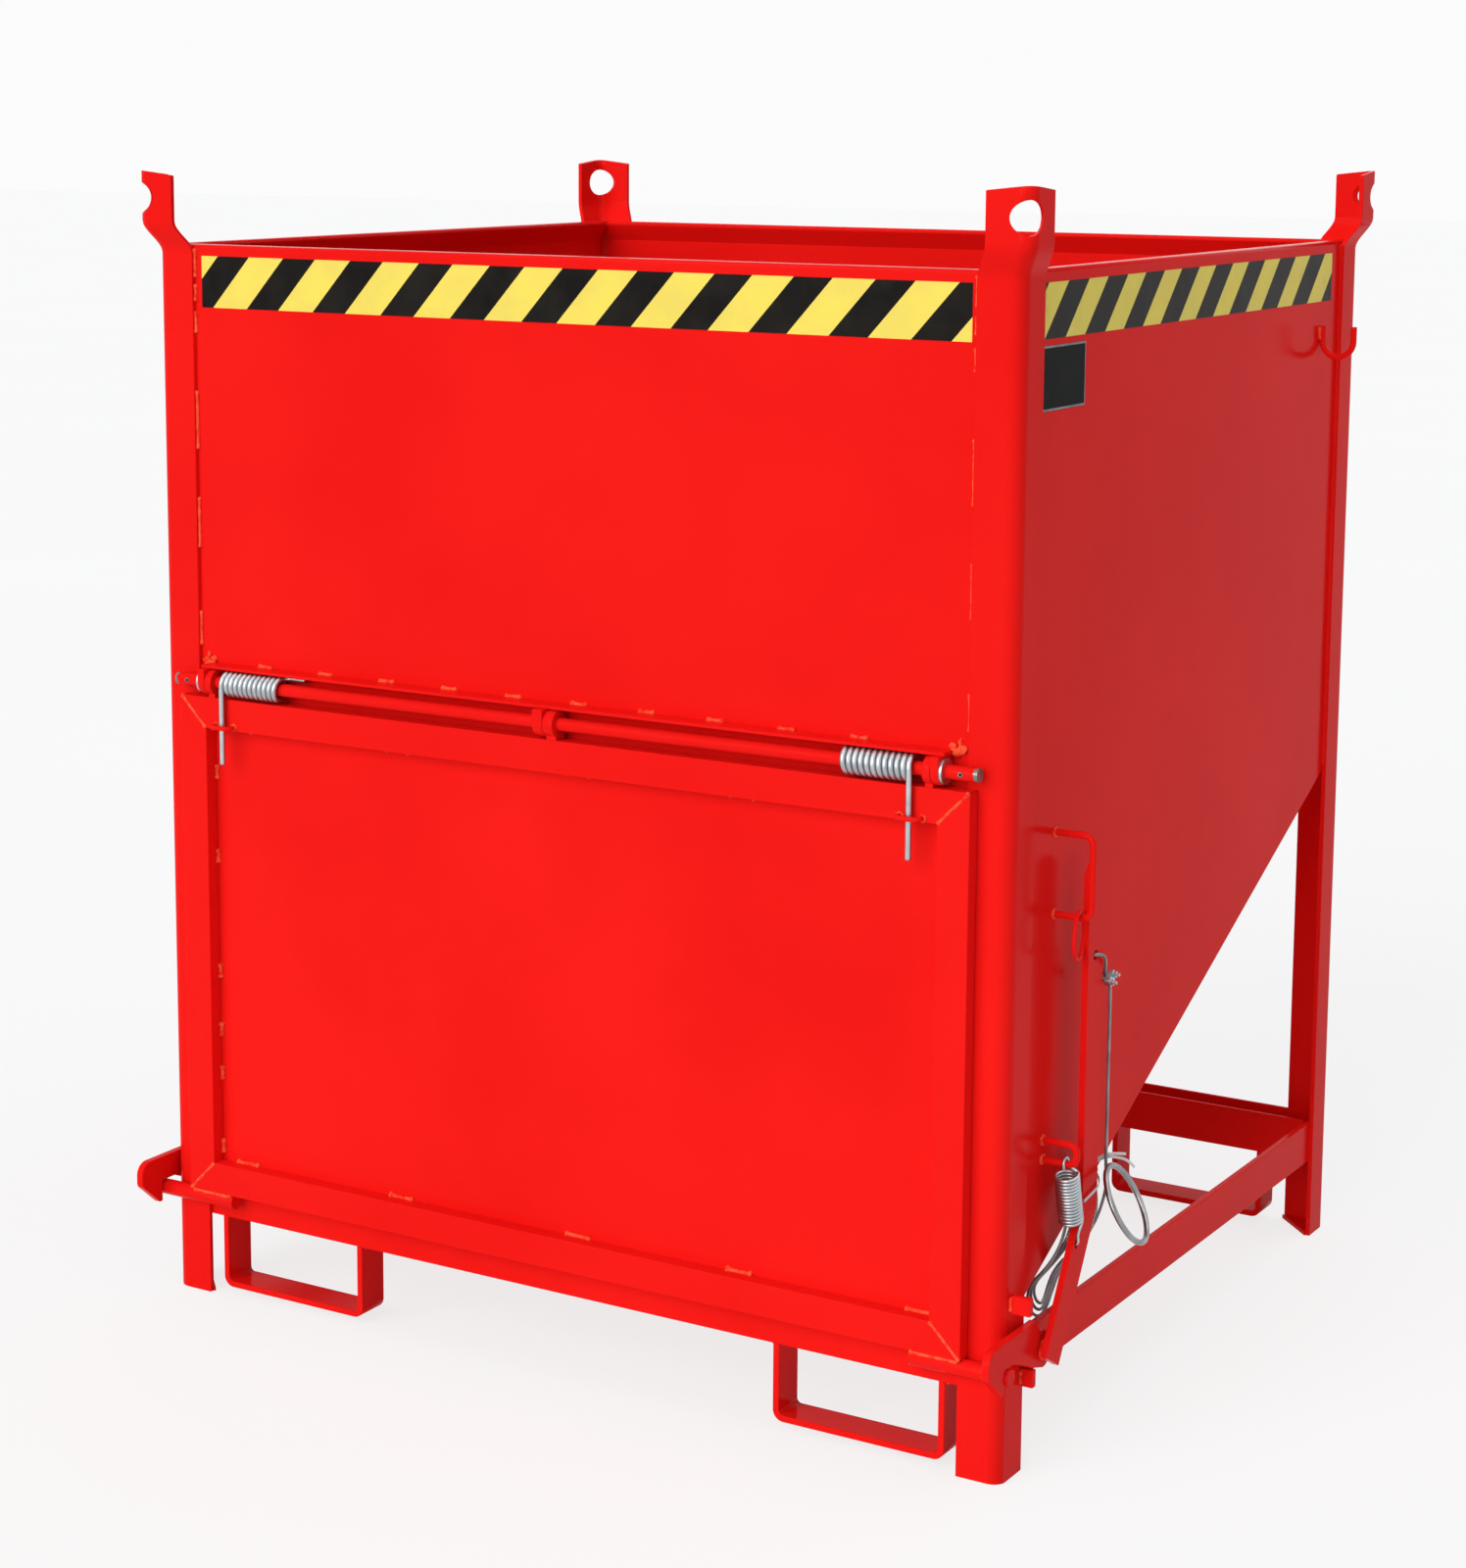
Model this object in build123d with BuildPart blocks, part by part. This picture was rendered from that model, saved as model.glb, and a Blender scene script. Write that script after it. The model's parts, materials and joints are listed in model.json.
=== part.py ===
from build123d import *
import math
import os

os.makedirs("parts", exist_ok=True)

# Stackable silo container: a hopper on four posts, emptied through a sprung front flap.
# Millimetres, +Z up. X runs across the flap, Y from the flap to the rear.
# The origin is on the ground, at the middle of the overall outline.

# Overall sizes
frame_width = 1200.0
frame_depth = 1030.0
rim_height = 1367.0
lug_rise = 91.0

# Corner posts
post_leg = 56.0
post_wall = 6.0
post_bend = 16.0
lug_flare = 17.0
joggle_below_rim = 11.0
joggle_height = 40.0
joggle_steps = 8
lug_fall = 6.3
crane_eye = 38.0
crane_eye_drop = 34.0
foot_plate = 6.0
foot_plate_proud = 3.0

# Hopper sheets
sheet = 3.0
hem_width = 25.0
hem_drop = 28.0
hem_round = 4.0
mitre_slot = 2.0
floor_angle = 26.5
floor_low = 169.0
floor_sheet = 4.0
panel_lap = 10.0

# Base
rail_low = 106.0
channel_depth = 46.0
channel_height = 56.0
channel_wall = 5.0
rail_height = 55.0
rail_wall = 8.0
strap_from_corner = 74.0
strap_width = 225.0
strap_wall = 8.0
strap_ground = 11.0
strap_round = 14.0

# Flap hinge
rod_radius = 8.0
rod_past_washer = 40.2
rod_fit = 0.05
hinge_height = 818.6
hinge_reach = 14.0
eye_radius = 16.0
eye_width = 10.0
centre_eye_width = 14.0
eye_gap = 0.5
eye_from_shelf_end = 2.5
shelf_gap = 1.4
shelf_wall = 4.0
shelf_depth = 26.0
shelf_end_gap = 19.0
washer_radius = 15.0
washer_wall = 3.0
split_pin_radius = 2.8
split_pin_wall = 1.1
split_pin_slot = 1.0
split_pin_from_end = 20.0
split_pin_proud = 0.8

# Flap
flap_side_gap = 42.4
flap_bottom = 146.6
flap_under_hinge = 19.2
flap_gap = 1.0
bar_width = 40.0
bar_depth = 20.0
bar_wall = 2.0
panel_gap = 4.0
pin_radius = 10.0
pin_lap = 67.6
pin_past_hook = 3.0
weld_gap = 0.1

# Torsion springs
torsion_wire = 7.0
torsion_mean = 13.5
torsion_turns = 11
torsion_pitch = 8.3
torsion_clear = 16.0
torsion_tail = 22.0
torsion_tail_bend = 9.0
torsion_leg = 101.6
staple_half = 14.0
staple_wire = 6.0
staple_drop = 35.0
staple_gap = 0.4

# Latch
shaft_radius = 10.0
shaft_back = 80.0
shaft_height = 140.0
shaft_fit = 0.05
bush_radius = 15.0
bush_proud = 8.0
hook_gap = 4.0
hook_wall = 10.0
hook_top = 40.0
hook_lead = 20.0
hook_hub = 22.0
nose_reach = 62.0
nose_wall = 3.0
nose_drop = 20.0
notch_side = 1.0
notch_top = 1.4
notch_length = 25.0
nose_flat = 5.0
neck_back = 15.0
heel_front = 26.0
heel_drop = 14.0
heel_rise = 16.0
latch_swing = 16.0
stop_gap = 0.3
stop_wall = 8.0
stop_height = 21.0
stop_back = 18.0
stop_past_lever = 5.0
stop_past_hook = 2.0
lever_gap = 6.0
lever_width = 40.0
lever_wall = 8.0
lever_below = 12.0
lever_lean = 30.6
lever_knee = 287.0
lever_top = 694.0
spring_eye_up = 122.0
spring_eye_edge = 8.5
spring_eye = 9.0
rope_eye_height = 585.0
rope_eye_hole = 12.0

# Lever guard, lock ring and rope hook
guard_wire = 8.0
guard_back = 124.0
guard_low = 638.0
guard_high = 733.0
guard_reach = 47.0
guard_bend = 11.0
ring_wire = 5.0
ring_mean = 27.5
ring_at = 32.0
ring_turn = 24.0
rope_hook_from_rear = 120.0
rope_hook_below_rim = 127.0
rope_hook_radius = 21.0
rope_hook_stem = 19.0

# Tension spring and its staple
anchor_back = 107.0
anchor_low = 354.0
anchor_rise = 23.0
anchor_reach = 43.0
anchor_bend = 9.0
tension_wire = 3.6
tension_mean = 13.0
tension_pitch = 4.15
tension_turns = 13
tension_start = 30.0
hook_swing = 60.0
hook_clear = 0.7

# Rope
rope_wire = 4.0
strand_gap = 0.8
eye_half = 8.0
clip_along = 48.0
clip_length = 12.0
clip_saddle = 6.0
clip_bolt = 4.0
clip_leg = 5.4
nut_flats = 7.0
nut_wall = 3.5
rope_drop = 8.0
rope_bend_share = 0.45
tie_height = 330.0
coil_loops = 3
coil_back = 205.0
coil_lean = 0.4
coil_half = 46.0
coil_step = 9.0
coil_top = 318.0
coil_top_reach = 7.0
coil_top_step = 6.6
coil_cross_high = 224.0
coil_cross_low = 200.0
coil_cross_clear = 4.0
coil_inside_clear = 5.0
coil_bottom = 150.0
coil_bottom_step = 7.0
tie_length = 10.0
tie_wall = 1.5
tie_gap = 0.5
coil_tail = 11.0
pull_ring_mean = 47.0
pull_ring_wire = 7.0
pull_ring_lean = 30.0
pull_ring_turn = 2.0

# Derived places
overall_depth = nose_reach + frame_depth + lug_flare
y_front = nose_reach - overall_depth / 2
y_rear = y_front + frame_depth
x_post = frame_width / 2
x_wall = x_post - post_wall
x_inside = x_wall - sheet
y_panel = y_front + post_wall
y_back_wall = y_rear - post_wall
lug_top = rim_height + lug_rise
hinge_y = y_front - hinge_reach
shelf_half = x_post - post_leg - shelf_end_gap
body_eye_at = shelf_half - eye_from_shelf_end - eye_width
flap_eye_at = body_eye_at - eye_gap - eye_width
washer_at = body_eye_at + eye_width + stop_gap
rod_half = washer_at + washer_wall + rod_past_washer
split_pin_at = rod_half - split_pin_from_end
leg_x = flap_eye_at - torsion_clear
torsion_inner = leg_x - weld_gap * 2 - torsion_pitch * (torsion_turns + 0.25)
flap_half = x_post - flap_side_gap
pin_inner = flap_half - pin_lap
strap_inner = x_post - strap_from_corner - strap_width
flap_top = hinge_height - flap_under_hinge
flap_back = y_front - flap_gap
flap_face = flap_back - bar_depth
pin_y = flap_back - bar_depth / 2
pin_z = flap_bottom - pin_radius - weld_gap
shaft_y = y_front + shaft_back
hook_inner = x_post + hook_gap
hook_outer = hook_inner + hook_wall
lever_inner = hook_outer + lever_gap
lever_outer = lever_inner + lever_wall
lever_mid = (lever_inner + lever_outer) / 2
shelf_low = hinge_height + eye_radius + shelf_gap


def floor_line(y):
    """Height of the underside of the sloping floor."""
    return floor_low + (y - y_front) * math.tan(math.radians(floor_angle))


def write(name, part):
    part.label = name
    export_step(part, f"parts/{name}.step")


def plate(plane, outline, amount):
    """A flat piece: a closed outline on a plane, given its thickness."""
    with BuildPart() as piece:
        with BuildSketch(plane):
            with BuildLine():
                Polyline(*outline, close=True)
            make_face()
        extrude(amount=amount)
    return piece.part


def box(low, high):
    """A square-cut piece between two corners."""
    outline = [(low[0], low[1]), (high[0], low[1]), (high[0], high[1]), (low[0], high[1])]
    return plate(Plane.XY.offset(low[2]), outline, high[2] - low[2])


def bent_bar(route, wire, bend):
    """A round bar bent along a route of straight runs."""
    with BuildPart() as piece:
        with BuildLine() as line:
            FilletPolyline(*route, radius=bend)
        with BuildSketch(Plane(origin=line.line @ 0, z_dir=line.line % 0)):
            Circle(wire / 2)
        sweep(path=line.line)
    return piece.part


def round_bar(x0, x1, y, z, radius, bore=0.0):
    """A round piece along X, with a bore if one is given."""
    with BuildPart() as piece:
        with BuildSketch(Plane.YZ.offset(x0)):
            with Locations((y, z)):
                Circle(radius)
                if bore > 0:
                    Circle(bore, mode=Mode.SUBTRACT)
        extrude(amount=x1 - x0)
    return piece.part


# Wound wire: points with their directions, joined by pairs of arcs

def arc_or_line(start, end, direction):
    chord = (end - start).normalized()
    if chord.cross(direction).length < 1e-6:
        Line(start, end)
    else:
        TangentArc(start, end, tangent=direction)


def wound_route(stations):
    """Draws the route through (point, direction) stations in the open line block."""
    for (p0, t0), (p1, t1) in zip(stations, stations[1:]):
        v = p1 - p0
        t = t0 + t1
        k = 2 * (1 - t0.dot(t1))
        vt = v.dot(t)
        if k < 1e-9:
            d = v.dot(v) / (2 * vt)
        else:
            d = (math.sqrt(vt * vt + k * v.dot(v)) - vt) / k
        q0 = p0 + t0 * d
        q1 = p1 - t1 * d
        middle = (q0 + q1) / 2
        arc_or_line(p0, middle, t0)
        arc_or_line(middle, p1, (q1 - q0).normalized())


def wound_wire(name, stations, wire):
    """One unbroken wire through its stations. Prints its length and its least gap to itself."""
    with BuildPart() as piece:
        with BuildLine() as line:
            wound_route(stations)
        with BuildSketch(Plane(origin=stations[0][0], z_dir=stations[0][1])):
            Circle(wire / 2)
        sweep(path=line.wire())
    report_gap(name, line.wire(), wire, piece.part)
    return piece.part


def report_gap(name, route, wire, part):
    length = route.length
    count = max(60, int(length / (wire * 0.5)))
    points = [route.position_at(i / count) for i in range(count + 1)]
    skip = int(math.ceil(wire * 3.2 / (length / count)))
    least = 1e9
    for i, p in enumerate(points):
        for q in points[i + skip:]:
            if abs(p.X - q.X) < least and abs(p.Y - q.Y) < least:
                least = min(least, (p - q).length)
    swept = math.pi * wire * wire / 4 * length
    share = part.volume / swept
    gap = least - wire
    print(f"{name}: length {length:.0f} mm, least gap to itself {gap:.2f} mm")
    print(f"{name}: volume over swept {share:.4f}")


# Corner posts

def corner_post(sx, sy):
    """A pressed angle whose top steps outwards to take the foot of the next container.
    The cut top falls away from the corner along both legs."""
    cx = sx * x_post
    cy = y_rear if sy > 0 else y_front
    levels = [(0.0, 0.0)]
    base = rim_height - joggle_below_rim
    for i in range(joggle_steps + 1):
        t = i / joggle_steps
        levels.append((base + joggle_height * t, lug_flare * t * t * (3 - 2 * t)))
    levels.append((lug_top + lug_fall, lug_flare))
    inner = post_bend - post_wall
    with BuildPart() as piece:
        for (z0, out0), (z1, out1) in zip(levels, levels[1:]):
            ax = cx + sx * out0
            ay = cy + sy * out0
            with BuildSketch(Plane.XY.offset(z0)) as section:
                with BuildLine():
                    Polyline(
                        (ax, ay),
                        (ax - sx * post_leg, ay),
                        (ax - sx * post_leg, ay - sy * post_wall),
                        (ax - sx * post_wall, ay - sy * post_wall),
                        (ax - sx * post_wall, ay - sy * post_leg),
                        (ax, ay - sy * post_leg),
                        close=True,
                    )
                make_face()
                fillet(section.vertices().sort_by_distance((ax, ay))[0], post_bend)
                throat = (ax - sx * post_wall, ay - sy * post_wall)
                fillet(section.vertices().sort_by_distance(throat)[0], inner)
            step = Vector(sx * (out1 - out0), sy * (out1 - out0), z1 - z0)
            extrude(amount=step.length, dir=step)
        eye = (cx + sx * lug_flare, cy + sy * lug_flare, lug_top - crane_eye_drop)
        with BuildSketch(Plane(origin=eye, z_dir=(sx, sy, 0))):
            Circle(crane_eye / 2)
        extrude(amount=post_leg, both=True, mode=Mode.SUBTRACT)
        fall = lug_fall / post_leg
        crown = (eye[0], eye[1], lug_top + fall * post_bend * (2 - math.sqrt(2)))
        split(bisect_by=Plane(origin=crown, z_dir=(-sx * fall, -sy * fall, 1)), keep=Keep.BOTTOM)
    return piece.part


for side, sx in (("left", -1), ("right", 1)):
    for end, sy in (("front", -1), ("rear", 1)):
        write(f"post_{end}_{side}", corner_post(sx, sy))

with BuildPart() as foot_plates:
    with BuildSketch(Plane.XY):
        for sx in (-1, 1):
            for sy in (-1, 1):
                cx = sx * x_post
                cy = y_rear if sy > 0 else y_front
                reach = post_leg + foot_plate_proud
                with BuildLine():
                    Polyline(
                        (cx - sx * post_bend, cy - sy * post_wall),
                        (cx - sx * reach, cy - sy * post_wall),
                        (cx - sx * post_wall, cy - sy * reach),
                        (cx - sx * post_wall, cy - sy * post_bend),
                        close=True,
                    )
                make_face()
    extrude(amount=foot_plate)
write("foot_plates", foot_plates.part)


# Hopper sheets, each with a hem folded inwards along the rim

def hemmed(plane, face, inward, bottom, amount):
    """A sheet with its hollow three-cornered hem, drawn in section and given its length."""
    slope = math.hypot(hem_width - sheet, hem_drop)
    across = hem_drop / slope
    along = (hem_width - sheet) / slope
    hollow_width = hem_width - (sheet + along * sheet) / across
    hollow_drop = (across * (hem_width - sheet) - sheet) / along
    with BuildPart() as piece:
        with BuildSketch(plane) as section:
            with BuildLine():
                Polyline(
                    (face, bottom),
                    (face, rim_height),
                    (face + inward * hem_width, rim_height),
                    (face + inward * sheet, rim_height - hem_drop),
                    (face + inward * sheet, bottom),
                    close=True,
                )
            make_face()
            tops = section.vertices().group_by(Axis.Y)[-1]
            fillet(tops, hem_round)
            with BuildLine():
                Polyline(
                    (face + inward * sheet, rim_height - sheet),
                    (face + inward * hollow_width, rim_height - sheet),
                    (face + inward * sheet, rim_height - hollow_drop),
                    close=True,
                )
            make_face(mode=Mode.SUBTRACT)
        extrude(amount=amount)
    return piece.part


def mitred(part, origin, normal):
    """Cuts a hem end along the mitre, leaving the open slot."""
    with BuildPart() as piece:
        add(part)
        split(bisect_by=Plane(origin=origin, z_dir=normal), keep=Keep.BOTTOM)
    return piece.part


x_sheet = x_post - post_bend
front_bottom = flap_top - panel_lap
front_panel = hemmed(Plane.YZ.offset(-x_sheet), y_panel, 1, front_bottom, 2 * x_sheet)
rear_wall = hemmed(Plane.YZ.offset(-x_sheet), y_back_wall, -1, floor_line(y_back_wall), 2 * x_sheet)
for sx in (-1, 1):
    front_panel = mitred(front_panel, (sx * (x_wall - mitre_slot), y_panel, 0), (sx, 1, 0))
    rear_wall = mitred(rear_wall, (sx * (x_wall - mitre_slot), y_back_wall, 0), (sx, -1, 0))
write("front_panel", front_panel)
write("rear_wall", rear_wall)

wall_front = y_front + post_bend
wall_rear = y_rear - post_bend
for side, sx in (("left", -1), ("right", 1)):
    rim_low = rim_height - 2 * hem_drop
    rim = hemmed(Plane.XZ.offset(-wall_rear), sx * x_wall, -sx, rim_low, wall_rear - wall_front)
    with BuildPart() as wall:
        add(rim)
        with BuildSketch(Plane.YZ.offset(min(sx * x_wall, sx * x_inside))):
            with BuildLine():
                Polyline(
                    (wall_front, floor_line(wall_front)),
                    (wall_rear, floor_line(wall_rear)),
                    (wall_rear, rim_low),
                    (wall_front, rim_low),
                    close=True,
                )
            make_face()
        extrude(amount=sheet)
    shape = mitred(wall.part, (sx * x_wall, y_panel + mitre_slot, 0), (-sx, -1, 0))
    shape = mitred(shape, (sx * x_wall, y_back_wall - mitre_slot, 0), (-sx, 1, 0))
    write(f"{side}_wall", shape)

floor_rise = floor_sheet / math.cos(math.radians(floor_angle))
floor_end = y_back_wall - sheet
floor_outline = [
    (y_panel, floor_line(y_panel)),
    (floor_end, floor_line(floor_end)),
    (floor_end, floor_line(floor_end) + floor_rise),
    (y_panel, floor_line(y_panel) + floor_rise),
]
with BuildPart() as hopper_floor:
    add(plate(Plane.YZ.offset(-x_inside), floor_outline, 2 * x_inside))
    with BuildSketch(Plane.XY):
        for sx in (-1, 1):
            with BuildLine():
                Polyline(
                    (sx * x_sheet, y_front),
                    (sx * x_post, y_front),
                    (sx * x_post, wall_front),
                    (sx * x_sheet, wall_front),
                    close=True,
                )
            make_face()
    extrude(amount=rim_height, mode=Mode.SUBTRACT)
write("hopper_floor", hopper_floor.part)


# Base

def channel(y_face, inward, face_top):
    """A channel lying open upwards, with its outer flange at y_face."""
    far = y_face + inward * channel_depth
    low = rail_low + channel_wall
    outline = [
        (y_face, rail_low),
        (far, rail_low),
        (far, rail_low + channel_height),
        (far - inward * channel_wall, rail_low + channel_height),
        (far - inward * channel_wall, low),
        (y_face + inward * channel_wall, low),
        (y_face + inward * channel_wall, face_top),
        (y_face, face_top),
    ]
    return plate(Plane.YZ.offset(-x_sheet), outline, 2 * x_sheet)


write("front_sill", channel(y_panel, 1, floor_line(y_panel)))
write("rear_rail", channel(y_back_wall, -1, rail_low + channel_height))

for side, sx in (("left", -1), ("right", 1)):
    rail_face = min(sx * x_wall, sx * (x_wall - rail_wall))
    with BuildPart() as side_rail:
        with BuildSketch(Plane.YZ.offset(rail_face)):
            with BuildLine():
                Polyline(
                    (wall_front, rail_low),
                    (wall_rear, rail_low),
                    (wall_rear, rail_low + rail_height),
                    (wall_front, rail_low + rail_height),
                    close=True,
                )
            make_face()
            with Locations((shaft_y, shaft_height)):
                Circle(bush_radius, mode=Mode.SUBTRACT)
        extrude(amount=rail_wall)
    write(f"side_rail_{side}", side_rail.part)
    bush_in = x_wall - rail_wall - bush_proud
    bush_out = x_wall + bush_proud
    bush_start = min(sx * bush_in, sx * bush_out)
    bush_end = bush_start + bush_out - bush_in
    bore = shaft_radius + shaft_fit
    bush = round_bar(bush_start, bush_end, shaft_y, shaft_height, bush_radius, bore)
    write(f"shaft_bush_{side}", bush)


def fork_strap(sx, y_start):
    """A flat bar bent round a fork, hanging from the rail above it."""
    inner = sx * strap_inner
    outer = sx * (strap_inner + strap_width)
    with BuildPart() as piece:
        with BuildSketch(Plane.XZ.offset(-y_start - channel_depth)) as section:
            with BuildLine():
                Polyline(
                    (inner, rail_low),
                    (inner, strap_ground),
                    (outer, strap_ground),
                    (outer, rail_low),
                    (outer - sx * strap_wall, rail_low),
                    (outer - sx * strap_wall, strap_ground + strap_wall),
                    (inner + sx * strap_wall, strap_ground + strap_wall),
                    (inner + sx * strap_wall, rail_low),
                    close=True,
                )
            make_face()
            levels = section.vertices().group_by(Axis.Y)
            fillet(levels[0], strap_round)
            throats = section.vertices().filter_by_position(Axis.Y, strap_ground + strap_wall - weld_gap,
                                                            strap_ground + strap_wall + weld_gap)
            fillet(throats, strap_round - strap_wall)
        extrude(amount=channel_depth)
    return piece.part


for side, sx in (("left", -1), ("right", 1)):
    write(f"fork_strap_front_{side}", fork_strap(sx, y_panel))
    write(f"fork_strap_rear_{side}", fork_strap(sx, y_back_wall - channel_depth))


# Flap hinge

write("hinge_shelf", box((-shelf_half, y_panel - shelf_depth, shelf_low),
                         (shelf_half, y_panel, shelf_low + shelf_wall)))

with BuildPart() as hinge_rod:
    with BuildSketch(Plane.YZ.offset(-rod_half)):
        with Locations((hinge_y, hinge_height)):
            Circle(rod_radius)
    extrude(amount=2 * rod_half)
    with BuildSketch(Plane.XZ.offset(-hinge_y - rod_radius)):
        with Locations((-split_pin_at, hinge_height), (split_pin_at, hinge_height)):
            Circle(split_pin_radius + weld_gap)
    extrude(amount=2 * rod_radius, mode=Mode.SUBTRACT)
write("hinge_rod", hinge_rod.part)

split_pin_half = rod_radius + split_pin_proud
with BuildPart() as split_pins:
    with BuildSketch(Plane.XZ.offset(-hinge_y - split_pin_half)):
        with Locations((-split_pin_at, hinge_height), (split_pin_at, hinge_height)):
            Circle(split_pin_radius)
            Circle(split_pin_radius - split_pin_wall, mode=Mode.SUBTRACT)
        with Locations((-split_pin_at, hinge_height - split_pin_radius),
                       (split_pin_at, hinge_height - split_pin_radius)):
            Rectangle(split_pin_slot, 2 * split_pin_radius, mode=Mode.SUBTRACT)
    extrude(amount=2 * split_pin_half)
write("split_pins", split_pins.part)


def hinge_eye(x_start, width, y_low, y_high, z_end):
    """An eye plate round the rod, with a foot that reaches the piece it is welded to."""
    middle = ((y_low + y_high) / 2, (hinge_height + z_end) / 2)
    with BuildPart() as piece:
        with BuildSketch(Plane.YZ.offset(x_start)):
            with Locations((hinge_y, hinge_height)):
                Circle(eye_radius)
            with Locations(middle):
                Rectangle(y_high - y_low, abs(z_end - hinge_height))
            with Locations((hinge_y, hinge_height)):
                Circle(rod_radius + rod_fit, mode=Mode.SUBTRACT)
        extrude(amount=width)
    return piece.part


body_foot = (hinge_y - eye_radius, y_panel)
flap_foot = (flap_face, flap_back)
for side, sx in (("left", -1), ("right", 1)):
    body_start = min(sx * body_eye_at, sx * (body_eye_at + eye_width))
    flap_start = min(sx * flap_eye_at, sx * (flap_eye_at + eye_width))
    write(f"body_eye_{side}", hinge_eye(body_start, eye_width, *body_foot, shelf_low))
    write(f"flap_eye_{side}", hinge_eye(flap_start, eye_width, *flap_foot, flap_top))
write("body_eye_centre", hinge_eye(-centre_eye_width, centre_eye_width, *body_foot, shelf_low))
write("flap_eye_centre", hinge_eye(eye_gap, centre_eye_width, *flap_foot, flap_top))

with BuildPart() as hinge_washers:
    for start in (washer_at, -washer_at - washer_wall):
        with BuildSketch(Plane.YZ.offset(start)):
            with Locations((hinge_y, hinge_height)):
                Circle(washer_radius)
                Circle(rod_radius + weld_gap, mode=Mode.SUBTRACT)
        extrude(amount=washer_wall)
write("hinge_washers", hinge_washers.part)


# Flap

def flap_bar(corners):
    """A hollow bar with mitred ends: long edge first, then the short edge, in X and Z."""
    share = bar_wall / bar_width

    def between(a, b, f):
        return (a[0] + (b[0] - a[0]) * f, a[1] + (b[1] - a[1]) * f)

    hollow = [
        between(corners[0], corners[3], share),
        between(corners[1], corners[2], share),
        between(corners[1], corners[2], 1 - share),
        between(corners[0], corners[3], 1 - share),
    ]
    with BuildPart() as piece:
        with BuildSketch(Plane.XZ.offset(-flap_back)):
            with BuildLine():
                Polyline(*corners, close=True)
            make_face()
        extrude(amount=bar_depth)
        with BuildSketch(Plane.XZ.offset(bar_wall - flap_back)):
            with BuildLine():
                Polyline(*hollow, close=True)
            make_face()
        extrude(amount=bar_depth - 2 * bar_wall, mode=Mode.SUBTRACT)
    return piece.part


xo = flap_half
xi = flap_half - bar_width
zo = flap_top
zi = flap_top - bar_width
bo = flap_bottom
bi = flap_bottom + bar_width
write("flap_bar_top", flap_bar([(-xo, zo), (xo, zo), (xi, zi), (-xi, zi)]))
write("flap_bar_bottom", flap_bar([(-xo, bo), (xo, bo), (xi, bi), (-xi, bi)]))
write("flap_bar_left", flap_bar([(-xo, bo), (-xo, zo), (-xi, zi), (-xi, bi)]))
write("flap_bar_right", flap_bar([(xo, bo), (xo, zo), (xi, zi), (xi, bi)]))

panel_half = x_post - post_leg - panel_gap
write("flap_panel", box((-panel_half, flap_back, flap_bottom + panel_gap),
                        (panel_half, flap_back + sheet, flap_top - panel_gap)))

for side, sx in (("left", -1), ("right", 1)):
    pin_outer = hook_outer + pin_past_hook
    pin_start = min(sx * pin_inner, sx * pin_outer)
    pin_end = pin_start + pin_outer - pin_inner
    write(f"flap_pin_{side}", round_bar(pin_start, pin_end, pin_y, pin_z, pin_radius))


# Torsion springs round the hinge rod, and the staples that hold their legs on the flap

def torsion_spring(name, sx):
    """Tail under the shelf, coil round the rod, leg down the front of the flap."""
    def at(angle):
        turn = angle / (2 * math.pi)
        x = sx * (torsion_inner + torsion_pitch * turn)
        y = hinge_y - torsion_mean * math.sin(angle)
        z = hinge_height + torsion_mean * math.cos(angle)
        lead = torsion_pitch / (2 * math.pi)
        way = Vector(sx * lead, -torsion_mean * math.cos(angle), -torsion_mean * math.sin(angle))
        return Vector(x, y, z), way.normalized()

    tail_y = hinge_y + torsion_tail_bend
    tail_z = hinge_height + torsion_mean
    out = Vector(sx, 0, 0)
    down = Vector(0, 0, -1)
    bend_x = torsion_inner - torsion_tail_bend
    stations = [
        (Vector(sx * (bend_x - torsion_tail), tail_y, tail_z), out),
        (Vector(sx * bend_x, tail_y, tail_z), out),
    ]
    for half in range(2 * torsion_turns + 1):
        stations.append(at(half * math.pi))
    last = at((2 * torsion_turns + 0.5) * math.pi)
    stations.append(last)
    knee = Vector(last[0].X + sx * weld_gap * 2, last[0].Y, hinge_height - torsion_wire)
    stations.append((knee, down))
    stations.append((Vector(knee.X, knee.Y, hinge_height - torsion_leg), down))
    return wound_wire(name, stations, torsion_wire)


leg_y = hinge_y - torsion_mean
staple_y = leg_y - (torsion_wire + staple_wire) / 2 - staple_gap
staple_z = flap_top - staple_drop
for side, sx in (("left", -1), ("right", 1)):
    write(f"torsion_spring_{side}", torsion_spring(f"torsion_spring_{side}", sx))
    near = sx * (leg_x - staple_half)
    far = sx * (leg_x + staple_half)
    route = [
        (near, flap_face, staple_z),
        (near, staple_y, staple_z),
        (far, staple_y, staple_z),
        (far, flap_face, staple_z),
    ]
    write(f"spring_staple_{side}", bent_bar(route, staple_wire, staple_wire))


# Latch: cross shaft, hooks, hand lever and stops

write("latch_shaft", round_bar(-lever_outer, lever_outer, shaft_y, shaft_height, shaft_radius))

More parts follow.
